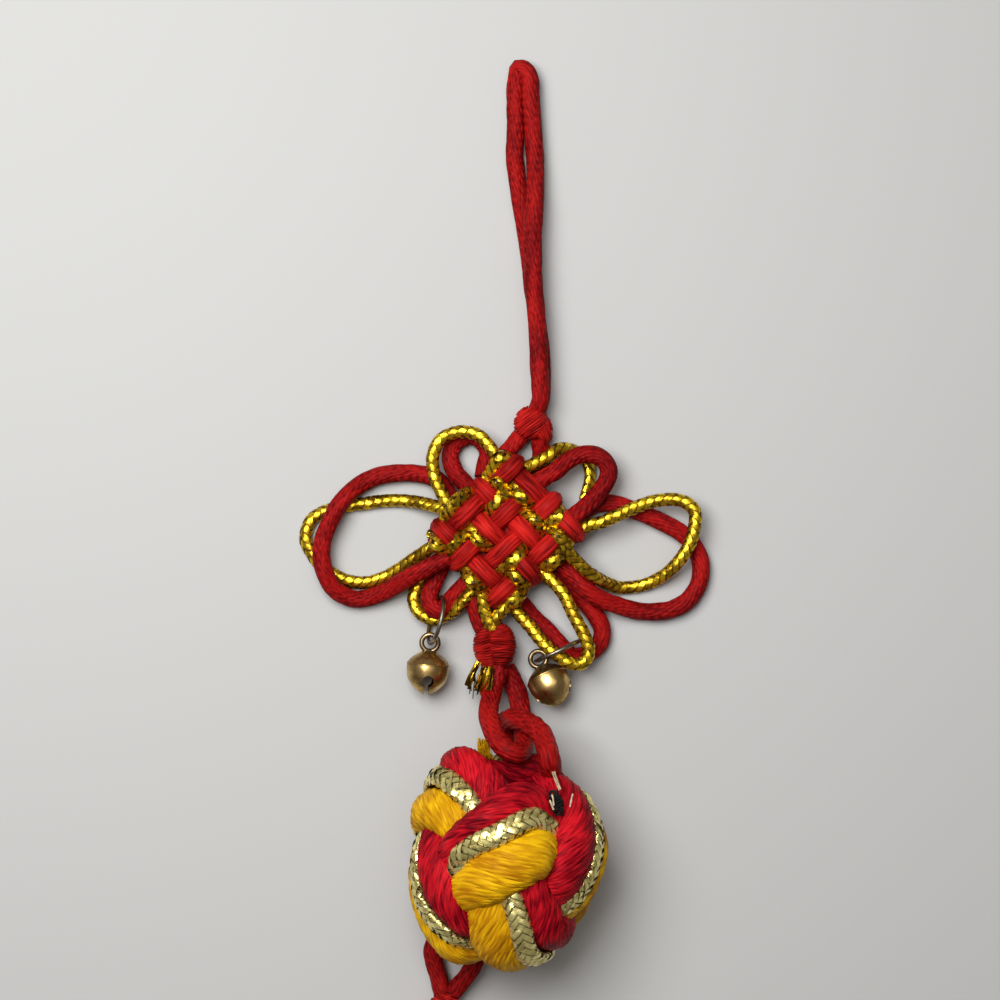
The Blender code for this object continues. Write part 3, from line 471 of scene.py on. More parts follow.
EAR_LEFT_RED = [
    (-8.6, 44.9, 1.5), (-9.3, 45.8, 1.4), (-10.4, 46.5, 1.3), (-12.7, 47.0, 1.23),
    (-14.8, 47.0, 1.23), (-16.7, 46.8, 1.23), (-18.6, 46.3, 1.23), (-20.5, 45.2, 1.6),
    (-22.2, 43.7, 2.5), (-23.6, 41.9, 2.9), (-24.7, 39.6, 2.9), (-25.5, 37.3, 2.9),
    (-25.5, 34.8, 2.9), (-25.0, 32.8, 2.8), (-24.0, 31.0, 2.1), (-22.5, 29.9, 1.5),
    (-20.6, 29.4, 1.25), (-18.8, 29.7, 1.3), (-16.8, 30.5, 1.8), (-14.8, 31.6, 2.8),
    (-13.1, 32.7, 3.8), (-11.3, 33.6, 4.4), (-9.8, 34.4, 4.5),
]
EAR_RIGHT_RED = [
    (11.0, 41.8, 1.3), (12.5, 42.6, 1.25), (13.9, 42.8, 1.23), (15.4, 42.6, 1.23),
    (17.0, 42.2, 1.23), (18.4, 41.7, 1.23), (20.1, 41.0, 1.23), (21.6, 40.3, 1.23),
    (23.3, 39.4, 1.23), (24.8, 38.4, 1.23), (26.2, 36.9, 1.23), (27.1, 35.1, 1.23),
    (27.3, 33.1, 1.23), (26.8, 31.2, 1.23), (25.7, 29.5, 1.23), (24.2, 28.4, 1.23),
    (22.4, 27.8, 1.23), (20.4, 27.6, 1.23), (18.3, 27.8, 1.3), (16.2, 28.4, 1.8),
    (13.6, 29.3, 3.0), (11.4, 30.7, 3.8), (10.0, 32.2, 3.6),
]
EAR_UPPER_LEFT_RED = [
    (-5.8, 45.7, 2.9), (-7.0, 47.1, 2.0), (-7.7, 49.5, 1.3), (-6.8, 51.4, 1.23),
    (-4.7, 52.2, 1.23), (-3.0, 51.1, 1.3), (-2.5, 49.6, 1.5), (-2.7, 48.6, 1.8),
]
EAR_UPPER_RIGHT_RED = [
    (4.9, 46.1, 4.9), (5.6, 46.5, 4.8), (7.0, 47.3, 4.7), (8.2, 48.4, 4.4),
    (9.3, 49.1, 4.3), (10.9, 49.6, 4.2), (12.5, 49.4, 4.1), (13.8, 48.5, 4.1),
    (14.3, 47.3, 4.1), (13.9, 45.7, 4.1), (12.8, 44.2, 4.1), (11.4, 42.7, 4.3),
    (10.1, 41.5, 4.5),
]
EAR_LOWER_LEFT_RED = [
    (-8.3, 35.0, 2.2), (-8.9, 34.0, 2.0), (-9.5, 32.8, 2.0), (-10.1, 31.3, 2.3),
    (-10.6, 29.9, 2.6), (-10.4, 28.7, 3.0), (-9.6, 27.9, 3.2), (-8.6, 28.2, 2.6),
    (-7.6, 29.4, 1.9), (-6.4, 30.8, 1.5), (-5.2, 31.9, 1.5),
]
EAR_LOWER_RIGHT_RED = [
    (7.8, 32.3, 1.6), (8.7, 31.6, 1.4), (9.8, 30.4, 1.3), (11.6, 28.4, 1.25),
    (13.0, 26.5, 1.25), (13.5, 25.0, 1.25), (13.2, 23.4, 1.3), (12.1, 22.2, 1.4),
    (10.6, 21.5, 1.6), (9.2, 21.5, 2.2), (7.9, 22.7, 2.8), (6.6, 24.2, 2.2),
    (5.2, 25.6, 1.5), (3.8, 26.9, 1.3), (2.7, 28.2, 1.3),
]
for ear, seed, route, end in (("left", 31, EAR_LEFT_RED, 2.2), ("right", 32, EAR_RIGHT_RED, 4.4)):
    ear_cord, ear_line = red_cord(f"silk_ear_{ear}", route, seed, f"ear_{ear}_red", 2.2, end)
red_cord("silk_ear_upper_left", EAR_UPPER_LEFT_RED, 33, "ear_upper_left_red", 2.4, 2.4)
red_cord("silk_ear_upper_right", EAR_UPPER_RIGHT_RED, 34, "ear_upper_right_red", 2.4, 2.4)
red_cord("silk_ear_lower_left", EAR_LOWER_LEFT_RED, 35, "ear_lower_left_red", 2.0, 2.0)
red_cord("silk_ear_lower_right", EAR_LOWER_RIGHT_RED, 36, "ear_lower_right_red", 2.6, 2.6)

# ------------------------------------------------------------ gold ears
# A thin tubular braid of flat metallic yellow strips over a dark core, two strips over
# and two under, laid beside the red cord wherever it goes.
BRAID_WIDE = 0.85  # half the width and half the height of the braid, which lies flattened
BRAID_HIGH = 0.62
BRAID_PAIRS = 4  # strips that wind each way
BRAID_TURN = 1.25  # radians a millimetre
BRAID_LIFT = 0.06  # how far a strip rises or dips where it passes over or under
STRIP_WIDE = 0.90
STRIP_THICK = 0.07
BRAID_STEP = 0.25


def braid_strips(line, seed, wide=BRAID_WIDE, high=BRAID_HIGH, pairs=BRAID_PAIRS, turn=BRAID_TURN,
                 strip_wide=STRIP_WIDE, strip_thick=STRIP_THICK, lift=BRAID_LIFT, closed=False, lie=None,
                 tilted=0.03):
    """The tubes of a two-over two-under braid round a line, and its core."""
    rng = np.random.default_rng(seed)
    ahead, side, up = lie or directions(line, closed)
    s = along(line)
    if closed:
        s = np.arange(len(line)) * (s[-1] / (len(line) - 1))
        total = s[-1] + s[1]
        # whole turns, and whole overs and unders, where the braid meets itself
        turn = 2 * math.pi * round(turn * total / (2 * math.pi)) / total
    tubes = [(round_rings(line, side * (wide - 0.13), up * (high - 0.13), 1.0, 10), s, 0.0, closed)]

    def on_tube(points, rise):
        """Points drawn back onto the flattened tube, `rise` above its surface."""
        away = points - line
        angle = np.arctan2(np.sum(away * up, axis=1) / high, np.sum(away * side, axis=1) / wide)[:, None]
        forward = ahead * np.sum(away * ahead, axis=1, keepdims=True)
        return line + forward + np.cos(angle) * (wide + rise) * side + np.sin(angle) * (high + rise) * up

    for way in (1, -1):
        for k in range(pairs):
            angle = (2 * math.pi * k / pairs + way * turn * s)[:, None]
            crossing = s * pairs * turn / math.pi + 2 * k
            over = np.clip(1.7 * np.cos(math.pi / 2 * (crossing - 0.5)) * way, -1, 1)[:, None]
            middle = line + np.cos(angle) * wide * side + np.sin(angle) * high * up
            out = unit(np.cos(angle) / wide * side + np.sin(angle) / high * up)
            across = unit(np.cross(out, unit(np.gradient(middle, axis=0))))
            half = strip_wide / 2 * rng.uniform(0.94, 1.06)
            facets = np.arange(-1, crossing[-1] / 2 + 2)
            tilt = np.interp(crossing / 2, facets, rng.normal(0, tilted, len(facets)))[:, None]
            rings = np.stack(
                [
                    on_tube(middle + across * half, lift * over + tilt),
                    on_tube(middle, lift * over + strip_thick * 0.7),
                    on_tube(middle - across * half, lift * over - tilt),
                    on_tube(middle, lift * over - strip_thick * 0.3),
                ],
                axis=1,
            )
            tubes.append((rings, s, rng.uniform(0.2, 1.0), closed))
    return tubes


# A metallic strip: facets along it painted bright and dull as a reflection, painted shade on its edges and
# underside, and under it the core, whose own shade is 0.
metal_strip, strip_in, strip_out = new_group(
    "metal_strip",
    [("Bright", "NodeSocketColor", (0.9, 0.6, 0.1, 1)), ("Dull", "NodeSocketColor", (0.4, 0.2, 0.02, 1)),
     ("Core", "NodeSocketColor", (0.03, 0.02, 0.01, 1))],
    [("Color", "NodeSocketColor"), ("Metallic", "NodeSocketFloat"), ("Roughness", "NodeSocketFloat"),
     ("Height", "NodeSocketFloat")],
)
strip_along, strip_round, strip_shade = lay_nodes(metal_strip)
crinkle_place = spot_node(
    metal_strip,
    math_node(metal_strip, "MULTIPLY", strip_along, 1.3),
    math_node(metal_strip, "MULTIPLY", strip_round, 2.0),
    math_node(metal_strip, "MULTIPLY", strip_shade, 53.0),
)
crinkle = noise_node(metal_strip, crinkle_place, 1.4, 3.0)
facet_place = spot_node(
    metal_strip,
    math_node(metal_strip, "FLOOR", math_node(metal_strip, "MULTIPLY", strip_along, 0.8)),
    math_node(metal_strip, "MULTIPLY", strip_shade, 97.0),
)
facet_painted_reflection = metal_strip.nodes.new("ShaderNodeTexWhiteNoise")
facet_painted_reflection.noise_dimensions = "2D"
metal_strip.links.new(facet_place, facet_painted_reflection.inputs["Vector"])
# Painted reflection: each facet and crinkle gets its own brightness, as a crinkled metal strip would mirror
# the light.
crinkle_painted_reflection = math_node(metal_strip, "MULTIPLY_ADD", crinkle, 1.8, -0.9)
lit = math_node(metal_strip, "MULTIPLY_ADD", facet_painted_reflection.outputs["Value"], 1.2, crinkle_painted_reflection)
lit_colour = colour_mix(metal_strip, lit, strip_in.outputs["Dull"], strip_in.outputs["Bright"])
# Painted shade: the strip's edges and underside are darkened toward the core colour, as shadow falls where
# the strips overlap.
from_middle = math_node(metal_strip, "ABSOLUTE", math_node(metal_strip, "SUBTRACT", strip_round, 0.25))
edge = metal_strip.nodes.new("ShaderNodeMapRange")
edge.inputs["From Min"].default_value = 0.175
edge.inputs["From Max"].default_value = 0.235
metal_strip.links.new(from_middle, edge.inputs["Value"])
edge_painted_shade = math_node(metal_strip, "MULTIPLY", edge.outputs[0], 0.9)
edge_shaded_colour = colour_mix(metal_strip, edge_painted_shade, lit_colour, strip_in.outputs["Core"])
is_strip = math_node(metal_strip, "GREATER_THAN", strip_shade, 0.05)
for label, socket in (
    ("Color", colour_mix(metal_strip, is_strip, strip_in.outputs["Core"], edge_shaded_colour)),
    ("Metallic", is_strip),
    ("Roughness", math_node(metal_strip, "MULTIPLY_ADD", crinkle, 0.28, 0.16)),
    ("Height", crinkle),
):
    metal_strip.links.new(socket, strip_out.inputs[label])


def braid_material(name, bright, dull, core, metal=1.0):
    """A braid over its core; `metal` is how metallic its strips are."""
    values = {"Bright": bright, "Dull": dull, "Core": core}
    material, group, shader = patterned(name, metal_strip, values, 0.7, 0.00012)
    tree = material.node_tree
    tree.links.new(math_node(tree, "MULTIPLY", group.outputs["Metallic"], metal), shader.inputs["Metallic"])
    tree.links.new(group.outputs["Roughness"], shader.inputs["Roughness"])
    return material


# Bright and dull are the lit and dim facets of the braid's painted reflection.
gold_braid = braid_material(
    "gold_braid", (0.95, 0.63, 0.028), (0.33, 0.17, 0.008), (0.04, 0.016, 0.003), 0.92
)

EAR_LEFT_GOLD = [
    (-9.4, 42.3, 3.0), (-11.5, 42.8, 2.0), (-13.3, 43.1, 1.2), (-15.3, 43.2, 0.75),
    (-17.4, 43.1, 0.7), (-19.5, 42.8, 0.7), (-21.6, 42.5, 0.7), (-23.8, 42.1, 0.7),
    (-25.6, 41.5, 0.7), (-27.0, 40.6, 0.7), (-27.7, 39.3, 0.7), (-27.9, 37.6, 0.7),
    (-27.0, 35.7, 0.7), (-25.8, 34.1, 0.7), (-24.1, 32.9, 0.7), (-22.2, 32.0, 0.7),
    (-20.3, 31.7, 0.7), (-18.5, 31.9, 0.7), (-16.6, 32.6, 0.85), (-14.7, 33.7, 1.5),
    (-13.0, 34.9, 2.4), (-11.2, 36.1, 3.2),
]
EAR_RIGHT_GOLD = [
    (10.5, 39.2, 4.2), (11.8, 39.8, 4.2), (13.4, 40.2, 4.2), (15.0, 40.9, 4.2),
    (16.6, 41.6, 4.0), (18.2, 42.3, 3.9), (20.2, 43.0, 3.8), (22.0, 43.3, 3.8),
    (23.7, 43.3, 3.8), (25.2, 42.8, 3.8), (26.2, 41.7, 3.8), (26.3, 40.2, 3.8),
    (25.8, 37.9, 3.8), (25.1, 36.3, 3.6), (24.1, 34.8, 3.2), (22.6, 33.2, 2.3),
    (21.0, 32.1, 1.3), (19.4, 31.4, 0.8), (17.8, 31.1, 0.72), (16.0, 31.0, 0.8),
    (14.2, 31.6, 2.0), (12.6, 32.5, 4.2), (11.0, 33.6, 5.4), (9.8, 34.8, 5.8),
]
EAR_UPPER_LEFT_GOLD = [
    (-8.3, 43.3, 4.0), (-9.2, 44.9, 3.9), (-9.9, 46.9, 3.7), (-10.1, 49.2, 3.6),
    (-9.0, 51.6, 3.6), (-6.5, 52.7, 3.6), (-3.9, 52.3, 3.8), (-2.4, 50.9, 4.2),
    (-1.5, 49.6, 4.7),
]
EAR_UPPER_RIGHT_GOLD = [
    (5.0, 48.8, 3.9), (6.0, 49.3, 3.7), (7.1, 50.2, 3.3), (8.3, 50.4, 2.4),
    (9.6, 50.1, 1.4), (10.7, 49.4, 0.9), (11.6, 48.1, 0.8), (11.8, 46.7, 0.8),
    (11.7, 45.6, 0.8), (11.5, 44.9, 0.8),
]
EAR_LOWER_LEFT_GOLD = [
    (-10.0, 33.4, 1.0), (-11.0, 32.9, 1.0), (-12.0, 31.8, 1.1), (-12.7, 30.3, 1.3),
    (-12.75, 28.9, 1.6), (-12.0, 27.6, 1.9), (-10.9, 26.85, 2.1), (-9.7, 26.6, 2.0),
    (-8.4, 27.15, 2.2), (-7.0, 28.0, 2.9), (-5.7, 29.5, 3.3), (-4.4, 30.9, 3.4),
]
EAR_LOWER_RIGHT_GOLD = [
    (6.0, 32.4, 4.6), (7.0, 31.5, 4.9), (8.1, 30.1, 5.2), (9.3, 27.6, 5.4),
    (10.7, 24.9, 5.5), (11.5, 22.6, 5.4), (11.1, 21.2, 5.2), (10.2, 20.5, 5.0),
    (9.1, 20.7, 5.2), (7.8, 21.4, 5.3), (6.2, 22.6, 5.2), (4.7, 24.1, 4.5),
    (3.4, 25.7, 3.7), (2.5, 26.7, 3.4),
]


def gold_cord(name, route, seed, node, start=1.6, end=1.6):
    """A gold braid along its route, in the place of its solid."""
    line = smooth_route(drawn_in(route, start, end), BRAID_STEP)
    piece = make_piece(name, braid_strips(line, seed), gold_braid, crisp=True)
    fit_piece(piece, "gold_braid", node)
    return piece, line


for ear, seed, route in (("left", 41, EAR_LEFT_GOLD), ("right", 42, EAR_RIGHT_GOLD)):
    ear_braid, ear_line = gold_cord(f"gold_ear_{ear}", route, seed, f"ear_{ear}_gold", 2.4, 2.0)
gold_cord("gold_ear_upper_left", EAR_UPPER_LEFT_GOLD, 43, "ear_upper_left_gold")
gold_cord("gold_ear_upper_right", EAR_UPPER_RIGHT_GOLD, 44, "ear_upper_right_gold", 2.4, 1.6)
gold_cord("gold_ear_lower_left", EAR_LOWER_LEFT_GOLD, 45, "ear_lower_left_gold")
gold_cord("gold_ear_lower_right", EAR_LOWER_RIGHT_GOLD, 46, "ear_lower_right_gold", 1.6, 2.4)

# ------------------------------------------------------------ woven square
# Four doubled runs each way, red cord and gold braid side by side, woven over and under
# and turned round the square's edge into the same weave on its back.
SQUARE_CENTRE = (-0.1, 38.4)
RISING_LINES = (5.9, 2.1, -1.4, -5.3)  # the "/" runs, by their distance up left of the middle
FALLING_LINES = (7.2, 2.4, -1.1, -5.6)  # the "\\" runs, by their distance up right of the middle
RISING_GOLD_SIDE = (1, 1, -1, -1)  # which side of the red cord the gold lies on
FALLING_GOLD_SIDE = (-1, 1, -1, -1)
WEAVE_MIDDLE = 4.45
WEAVE_WAVE = 1.15
SQUARE_HIGH = 7.0
RUN_TURNS = {True: (1.9, 0.9), False: (1.7, 1.3)}  # how far past its end crossings a run turns round
GOLD_BESIDE = 2.1
GOLD_TUCKED = 1.1
SQUARE_CORD_R = 1.38  # the cord bulges where it is drawn over its neighbour


def weave_run(place, crossings, over_first, rising, beside=0.0, tucked=0.0,
              over=WEAVE_WAVE, under=WEAVE_WAVE):
    """A closed run: along the front, round the edge, back along the underside.

    It lies `beside` its own line where it goes over and `tucked` where it goes under.
    """
    order = {line: k for k, line in enumerate(crossings)}
    points = []
    for t in sorted(crossings):
        goes_over = (order[t] % 2 == 0) == over_first
        points.append((t, WEAVE_MIDDLE + over, beside) if goes_over else (t, WEAVE_MIDDLE - under, tucked))
    shoulders, turns = ([], []), []
    for end, way, (last, height, _) in ((0, -1, points[0]), (1, 1, points[-1])):
        past = RUN_TURNS[rising][end]
        if past > 1.2 and height > WEAVE_MIDDLE:
            shoulders[end].append((last + way * (past - 0.75), WEAVE_MIDDLE + 0.25, tucked))
        turns.append((last + way * past, SQUARE_HIGH / 2, tucked))
    points = shoulders[0] + points + shoulders[1]
    under_side = [(t, SQUARE_HIGH - z, aside) for t, z, aside in reversed(points)]
    whole = points + [turns[1]] + under_side + [turns[0]]
    route = []
    for t, z, aside in whole:
        u, v = (t, place + aside) if rising else (place + aside, t)
        x = SQUARE_CENTRE[0] + (u - v) / math.sqrt(2)
        y = SQUARE_CENTRE[1] + (u + v) / math.sqrt(2)
        route.append((x, y, z))
    return route


def closed_line(route, step):
    """A smooth closed line through a route's points, without the repeated last point."""
    around = [route[-2], route[-1]] + list(route) + [route[0], route[1]]
    fine = smooth_route(around, 0.05)
    start = np.argmin(np.linalg.norm(fine - np.array(route[0]), axis=1)[: len(fine) // 3])
    finish = len(fine) // 2 + np.argmin(np.linalg.norm(fine[len(fine) // 2:] - np.array(route[0]), axis=1))
    ring = fine[start:finish]
    count = max(6, round(along(ring)[-1] / step))
    stations = np.linspace(0, along(ring)[-1], count, endpoint=False)
    travelled = along(ring)
    return np.stack([np.interp(stations, travelled, ring[:, k]) for k in range(3)], axis=1)


red_tubes, gold_tubes = [], []
for rising, lines, crossings, gold_sides in (
    (True, RISING_LINES, FALLING_LINES, RISING_GOLD_SIDE),
    (False, FALLING_LINES, RISING_LINES, FALLING_GOLD_SIDE),
):
    for k, place in enumerate(lines):
        over_first = (k % 2 == 0) == rising
        red_line = closed_line(weave_run(place, crossings, over_first, rising), CORD_STEP)
        red_tubes += lay_yarns(red_line, 60 + 10 * rising + k, SQUARE_CORD_R, yarn_r=0.15, closed=True)
        beside, tucked = gold_sides[k] * GOLD_BESIDE, gold_sides[k] * GOLD_TUCKED
        gold_run = weave_run(place, crossings, over_first, rising, beside, tucked, 1.7, 0.9)
        gold_line = closed_line(gold_run, 0.27)
        gold_tubes += braid_strips(gold_line, 80 + 10 * rising + k, wide=0.95, high=0.5, pairs=4, turn=1.2,
                                   strip_wide=0.82, tilted=0.12, closed=True)
# Two flat cores inside the square, so that nothing shows through between its runs; they stand for the cord
# within, and with shade 0 they take its deepest red as painted shade between the runs.
for u, v in ((1, 1), (1, -1)):
    inside = [
        (SQUARE_CENTRE[0] + u * t, SQUARE_CENTRE[1] + v * t, SQUARE_HIGH / 2) for t in (-5.5, -2, 2, 5.5)
    ]
    red_tubes.append(plain_tube(smooth_route(inside, 0.5), 1.0, 12, 0.0, wide=4.5, high=0.5))
square_red = make_piece("woven_square_red", red_tubes, red_silk_lit, crisp=True)
square_gold = make_piece("woven_square_gold", gold_tubes, gold_braid, crisp=True)
DOWN_TO_KNOT = [
    (-3.5, 31.5, 5.0), (-3.1, 29.4, 4.6), (-2.85, 27.7, 4.3), (-2.2, 26.1, 4.1), (-1.9, 24.6, 3.9),
]
DOWN_TO_KNOT_TOO = [
    (1.0, 29.8, 5.2), (0.1, 28.6, 5.0), (-1.05, 27.3, 4.6), (-1.6, 25.9, 4.2), (-1.8, 24.4, 4.0),
]
RED_BEHIND = [(-4.1, 30.5, 2.6), (-4.2, 28.6, 2.6), (-3.7, 26.6, 2.6), (-2.9, 25.0, 2.6), (-2.5, 23.8, 2.6)]
down_tubes = []
for k, route in enumerate((DOWN_TO_KNOT, DOWN_TO_KNOT_TOO)):
    down_tubes += braid_strips(smooth_route(route, BRAID_STEP), 96 + k)
gold_down = make_piece("gold_down_to_knot", down_tubes, gold_braid, crisp=True)
red_down_tubes = lay_yarns(smooth_route(RED_BEHIND, CORD_STEP), 98)
red_down = make_piece("silk_down_to_knot", red_down_tubes, red_silk, crisp=True)
fit_piece(square_red, "red_silk", "knot_body")
fit_piece(square_gold, "gold_braid")
fit_piece(gold_down, "gold_braid")
fit_piece(red_down, "red_silk")

# ------------------------------------------------------------ wrapped knots
# The top, bottom and tassel knots are the same red cord wrapped round itself and
# drawn tight, so its turns lie side by side and lean across the knot.
KNOT_LOBES = {
    # middle, half sizes along the winding axis, across it and up, and the axis's angle from X
    "top_knot": [((3.55, 54.05, 2.9), (2.35, 2.55, 2.45), 122), ((5.0, 53.5, 2.4), (1.5, 2.6, 2.2), 20)],
    "bottom_knot": [((-2.35, 22.7, 3.0), (3.2, 2.2, 2.8), 100), ((-0.75, 22.9, 3.3), (3.3, 2.3, 3.1), 88)],
    "tassel_knot": [((-8.3, -27.6, 2.7), (2.3, 2.6, 2.5), 70)],
}
KNOT_YARN = 0.27  # from one wound yarn to the next
KNOT_YARN_R = 0.13


def wound_lobe(seed, centre, radii, angle):
    """The tubes of the fine yarns wound round one lobe of a knot, and its core."""
    rng = np.random.default_rng(seed)
    axis = np.array((math.cos(math.radians(angle)), math.sin(math.radians(angle)), 0.0))
    cross, upward = np.array((axis[1], -axis[0], 0.0)), np.array((0.0, 0.0, 1.0))
    half_along, half_cross, half_up = radii

    def turn(place, lean, inside, count):
        """One turn round the lobe: its points and which way is out."""
        phi = np.linspace(0, 2 * math.pi, count, endpoint=False)[:, None]
        at = np.clip(place + lean * np.cos(phi), -0.99, 0.99)
        slim = np.sqrt(1 - at**2)
        tilted = np.cos(phi) / half_cross * cross + np.sin(phi) / half_up * upward
        out = unit(at / half_along * axis + slim * tilted)
        aside = np.cos(phi) * half_cross * cross + np.sin(phi) * half_up * upward
        points = at * half_along * axis + slim * aside
        return centre + points - out * inside, out

    core = np.stack([turn(place, 0.0, 0.24, 20)[0] for place in np.linspace(-0.97, 0.97, 15)])
    tubes = [(core, np.linspace(0, 2 * half_along, 15), 0.3, False)]
    turns = max(5, round(2 * half_along / KNOT_YARN))
    corner = 2 * math.pi * np.arange(4)[None, :, None] / 4
    for k in range(turns):
        place = math.sin(math.pi / 2 * 0.92 * (2 * (k + 0.5) / turns - 1)) + rng.uniform(-0.02, 0.02)
        line, out = turn(place, rng.uniform(-0.05, 0.05), KNOT_YARN_R, 40)
        ahead = unit(np.roll(line, -1, axis=0) - np.roll(line, 1, axis=0))
        beside = KNOT_YARN * rng.uniform(0.58, 0.74)
        rings = (
            line[:, None, :]
            + KNOT_YARN_R * np.cos(corner) * out[:, None, :]
            + beside * np.sin(corner) * np.cross(ahead, out)[:, None, :]
        )
        tubes.append((rings, np.arange(40) * 0.4, rng.uniform(0.2, 1.0), True))
    return tubes


for seed, (knot, lobes) in enumerate(KNOT_LOBES.items(), start=101):
    knot_tubes = []
    for k, lobe in enumerate(lobes):
        knot_tubes += wound_lobe(seed * 10 + k, *lobe)
    wound_knot = make_piece("wound_" + knot, knot_tubes, red_silk_lit, crisp=True)
    fit_piece(wound_knot, "red_silk", knot)

# ------------------------------------------------------------ link and ball loop
# The bottom knot's own loop hooks through a loop of red cord that comes out of the top
# of the ball.
KNOT_LINK = [
    (-1.3, 18.5, 4.3), (-1.8, 17.2, 4.6), (-2.1, 15.7, 5.8), (-2.3, 14.2, 8.4),
    (-2.0, 12.6, 10.9), (-1.3, 11.1, 12.9), (-0.2, 9.8, 14.5), (1.2, 9.0, 14.6),
    (2.2, 9.2, 12.7), (2.5, 10.2, 9.9), (2.5, 11.0, 7.1), (2.3, 12.3, 4.8),
    (2.0, 14.6, 3.2), (1.4, 17.0, 2.2), (0.7, 18.4, 1.7),
]
BALL_LOOP = [
    (-0.4, 9.8, 4.8), (-0.65, 10.7, 4.6), (-0.6, 11.8, 4.8), (-0.35, 12.7, 5.8),
    (0.6, 13.2, 7.6), (2.0, 13.2, 9.5), (3.4, 12.7, 11.1), (4.6, 11.8, 12.5),
    (5.3, 10.6, 14.0), (5.6, 9.5, 15.4), (5.8, 8.7, 16.2), (6.0, 7.9, 15.6), (6.1, 6.6, 13.6),
]
FOOT_LEFT = [
    (-8.0, -15.6, 1.7), (-9.6, -17.6, 1.9), (-10.2, -19.6, 2.0), (-9.8, -21.6, 1.9),
    (-9.3, -23.3, 1.9), (-9.0, -24.5, 2.0),
]
FOOT_RIGHT = [
    (-3.0, -18.4, 2.0), (-3.9, -20.4, 2.4), (-4.9, -22.2, 2.7), (-5.9, -23.6, 2.5), (-6.7, -24.6, 2.3),
]
link_cord, link_line = red_cord("silk_knot_link", KNOT_LINK, 121, "knot_link", radius=1.42)
ball_loop_route = [(x + 0.4 * (k < 5), y, z) for k, (x, y, z) in enumerate(BALL_LOOP)]
red_cord("silk_ball_loop", ball_loop_route, 122, "ball_loop", 3.0, 0, 1.5)
red_cord("silk_foot_left", FOOT_LEFT, 123, "foot_left", 2.5, 1.0)
red_cord("silk_foot_right", FOOT_RIGHT, 124, "foot_right", 2.5, 1.0)

# ------------------------------------------------------------ ball knot
# Three cords side by side, thick red, flat metallic lace and thick yellow, laid three
# times round the ball with four turns at each end, over and under in turn.
BALL_CENTRE = np.array((-0.1, -5.0, 12.4))
BALL_RADII = np.array((13.9, 16.2, 13.5))
BALL_MEAN = BALL_RADII.mean()
BALL_LEADS = 3
BALL_TURNS = 4
BALL_SWING = 45.5
BALL_SWING_LEAN = 3.5
BALL_DIVE = 1.6
BALL_TURN = Matrix.Rotation(math.radians(168), 3, "Z")
BALL_TILT = Matrix.Rotation(math.radians(70), 3, "X")
BALL_SPIN = Matrix.Rotation(math.radians(75.6), 3, "Z")
# Places on the ball's upper side that are pulled aside, (x, y) and how far.
BALL_PULLS = [
    ((-0.42, -0.08), (-0.04, 0.10)), ((-0.12, 0.16), (0.00, 0.08)), ((0.15, 0.66), (0.00, 0.08)),
    ((0.37, 0.20), (0.00, 0.05)), ((-0.55, 0.64), (0.02, -0.03)), ((-0.18, 0.81), (0.06, 0.01)),
    ((0.60, 0.15), (-0.06, 0.00)), ((0.84, 0.11), (0.07, 0.00)), ((0.67, -0.35), (0.04, -0.07)),
    ((-0.78, -0.12), (0.14, 0.00)), ((-0.92, -0.18), (0.04, 0.00)), ((-0.60, -0.62), (0.03, 0.10)),
    ((-0.31, -0.58), (-0.10, 0.00)), ((-0.16, -0.84), (-0.16, -0.02)), ((0.27, -0.82), (-0.09, -0.03)),
    ((0.62, -0.60), (-0.10, 0.02)), ((0.10, -0.33), (0.04, 0.00)),
]
BALL_PULL_REACH = 0.25
# Where the ball bulges or is pressed in: direction, share of its radius, reach.
BALL_SWELLS = [
    ((0.14, 0.98, -0.02), -0.16, 0.27),
    ((-0.45, 0.88, 0.10), 0.08, 0.20),
    ((-0.22, 0.95, 0.15), 0.11, 0.12),
    ((-0.60, -0.80, 0.00), 0.05, 0.20),
    ((-0.50, -0.86, 0.06), 0.10, 0.15),
]


def nearness(places, others, reach):
    """How strongly each place feels each of the others, from 0 to 1."""
    apart = np.sum((places[:, None, :] - others[None, :, :]) ** 2, axis=2)
    return np.exp(-apart / (2 * reach**2))


def pulled(ways):
    """Directions from the ball's middle, moved as the knot is pulled out of shape."""
    at, by = [], []
    for (x, y), (dx, dy) in BALL_PULLS:
        z = math.sqrt(max(0.0, 1 - x * x - y * y))
        at.append((x, y, z))
        by.append((dx, dy, -(x * dx + y * dy) / max(0.4, z)))
    at, by = np.array(at), np.array(by)
    share = nearness(at, at, BALL_PULL_REACH) + 0.05 * np.eye(len(at))
    return unit(ways + nearness(ways, at, BALL_PULL_REACH) @ np.linalg.solve(share, by))


def ball_swell(ways):
    """How much the ball bulges in each direction, 1 where it doesn't."""
    bulge = np.ones(len(ways))
    for way, amount, reach in BALL_SWELLS:
        bulge += amount * nearness(ways, unit(np.array([way])), reach)[:, 0]
    return bulge


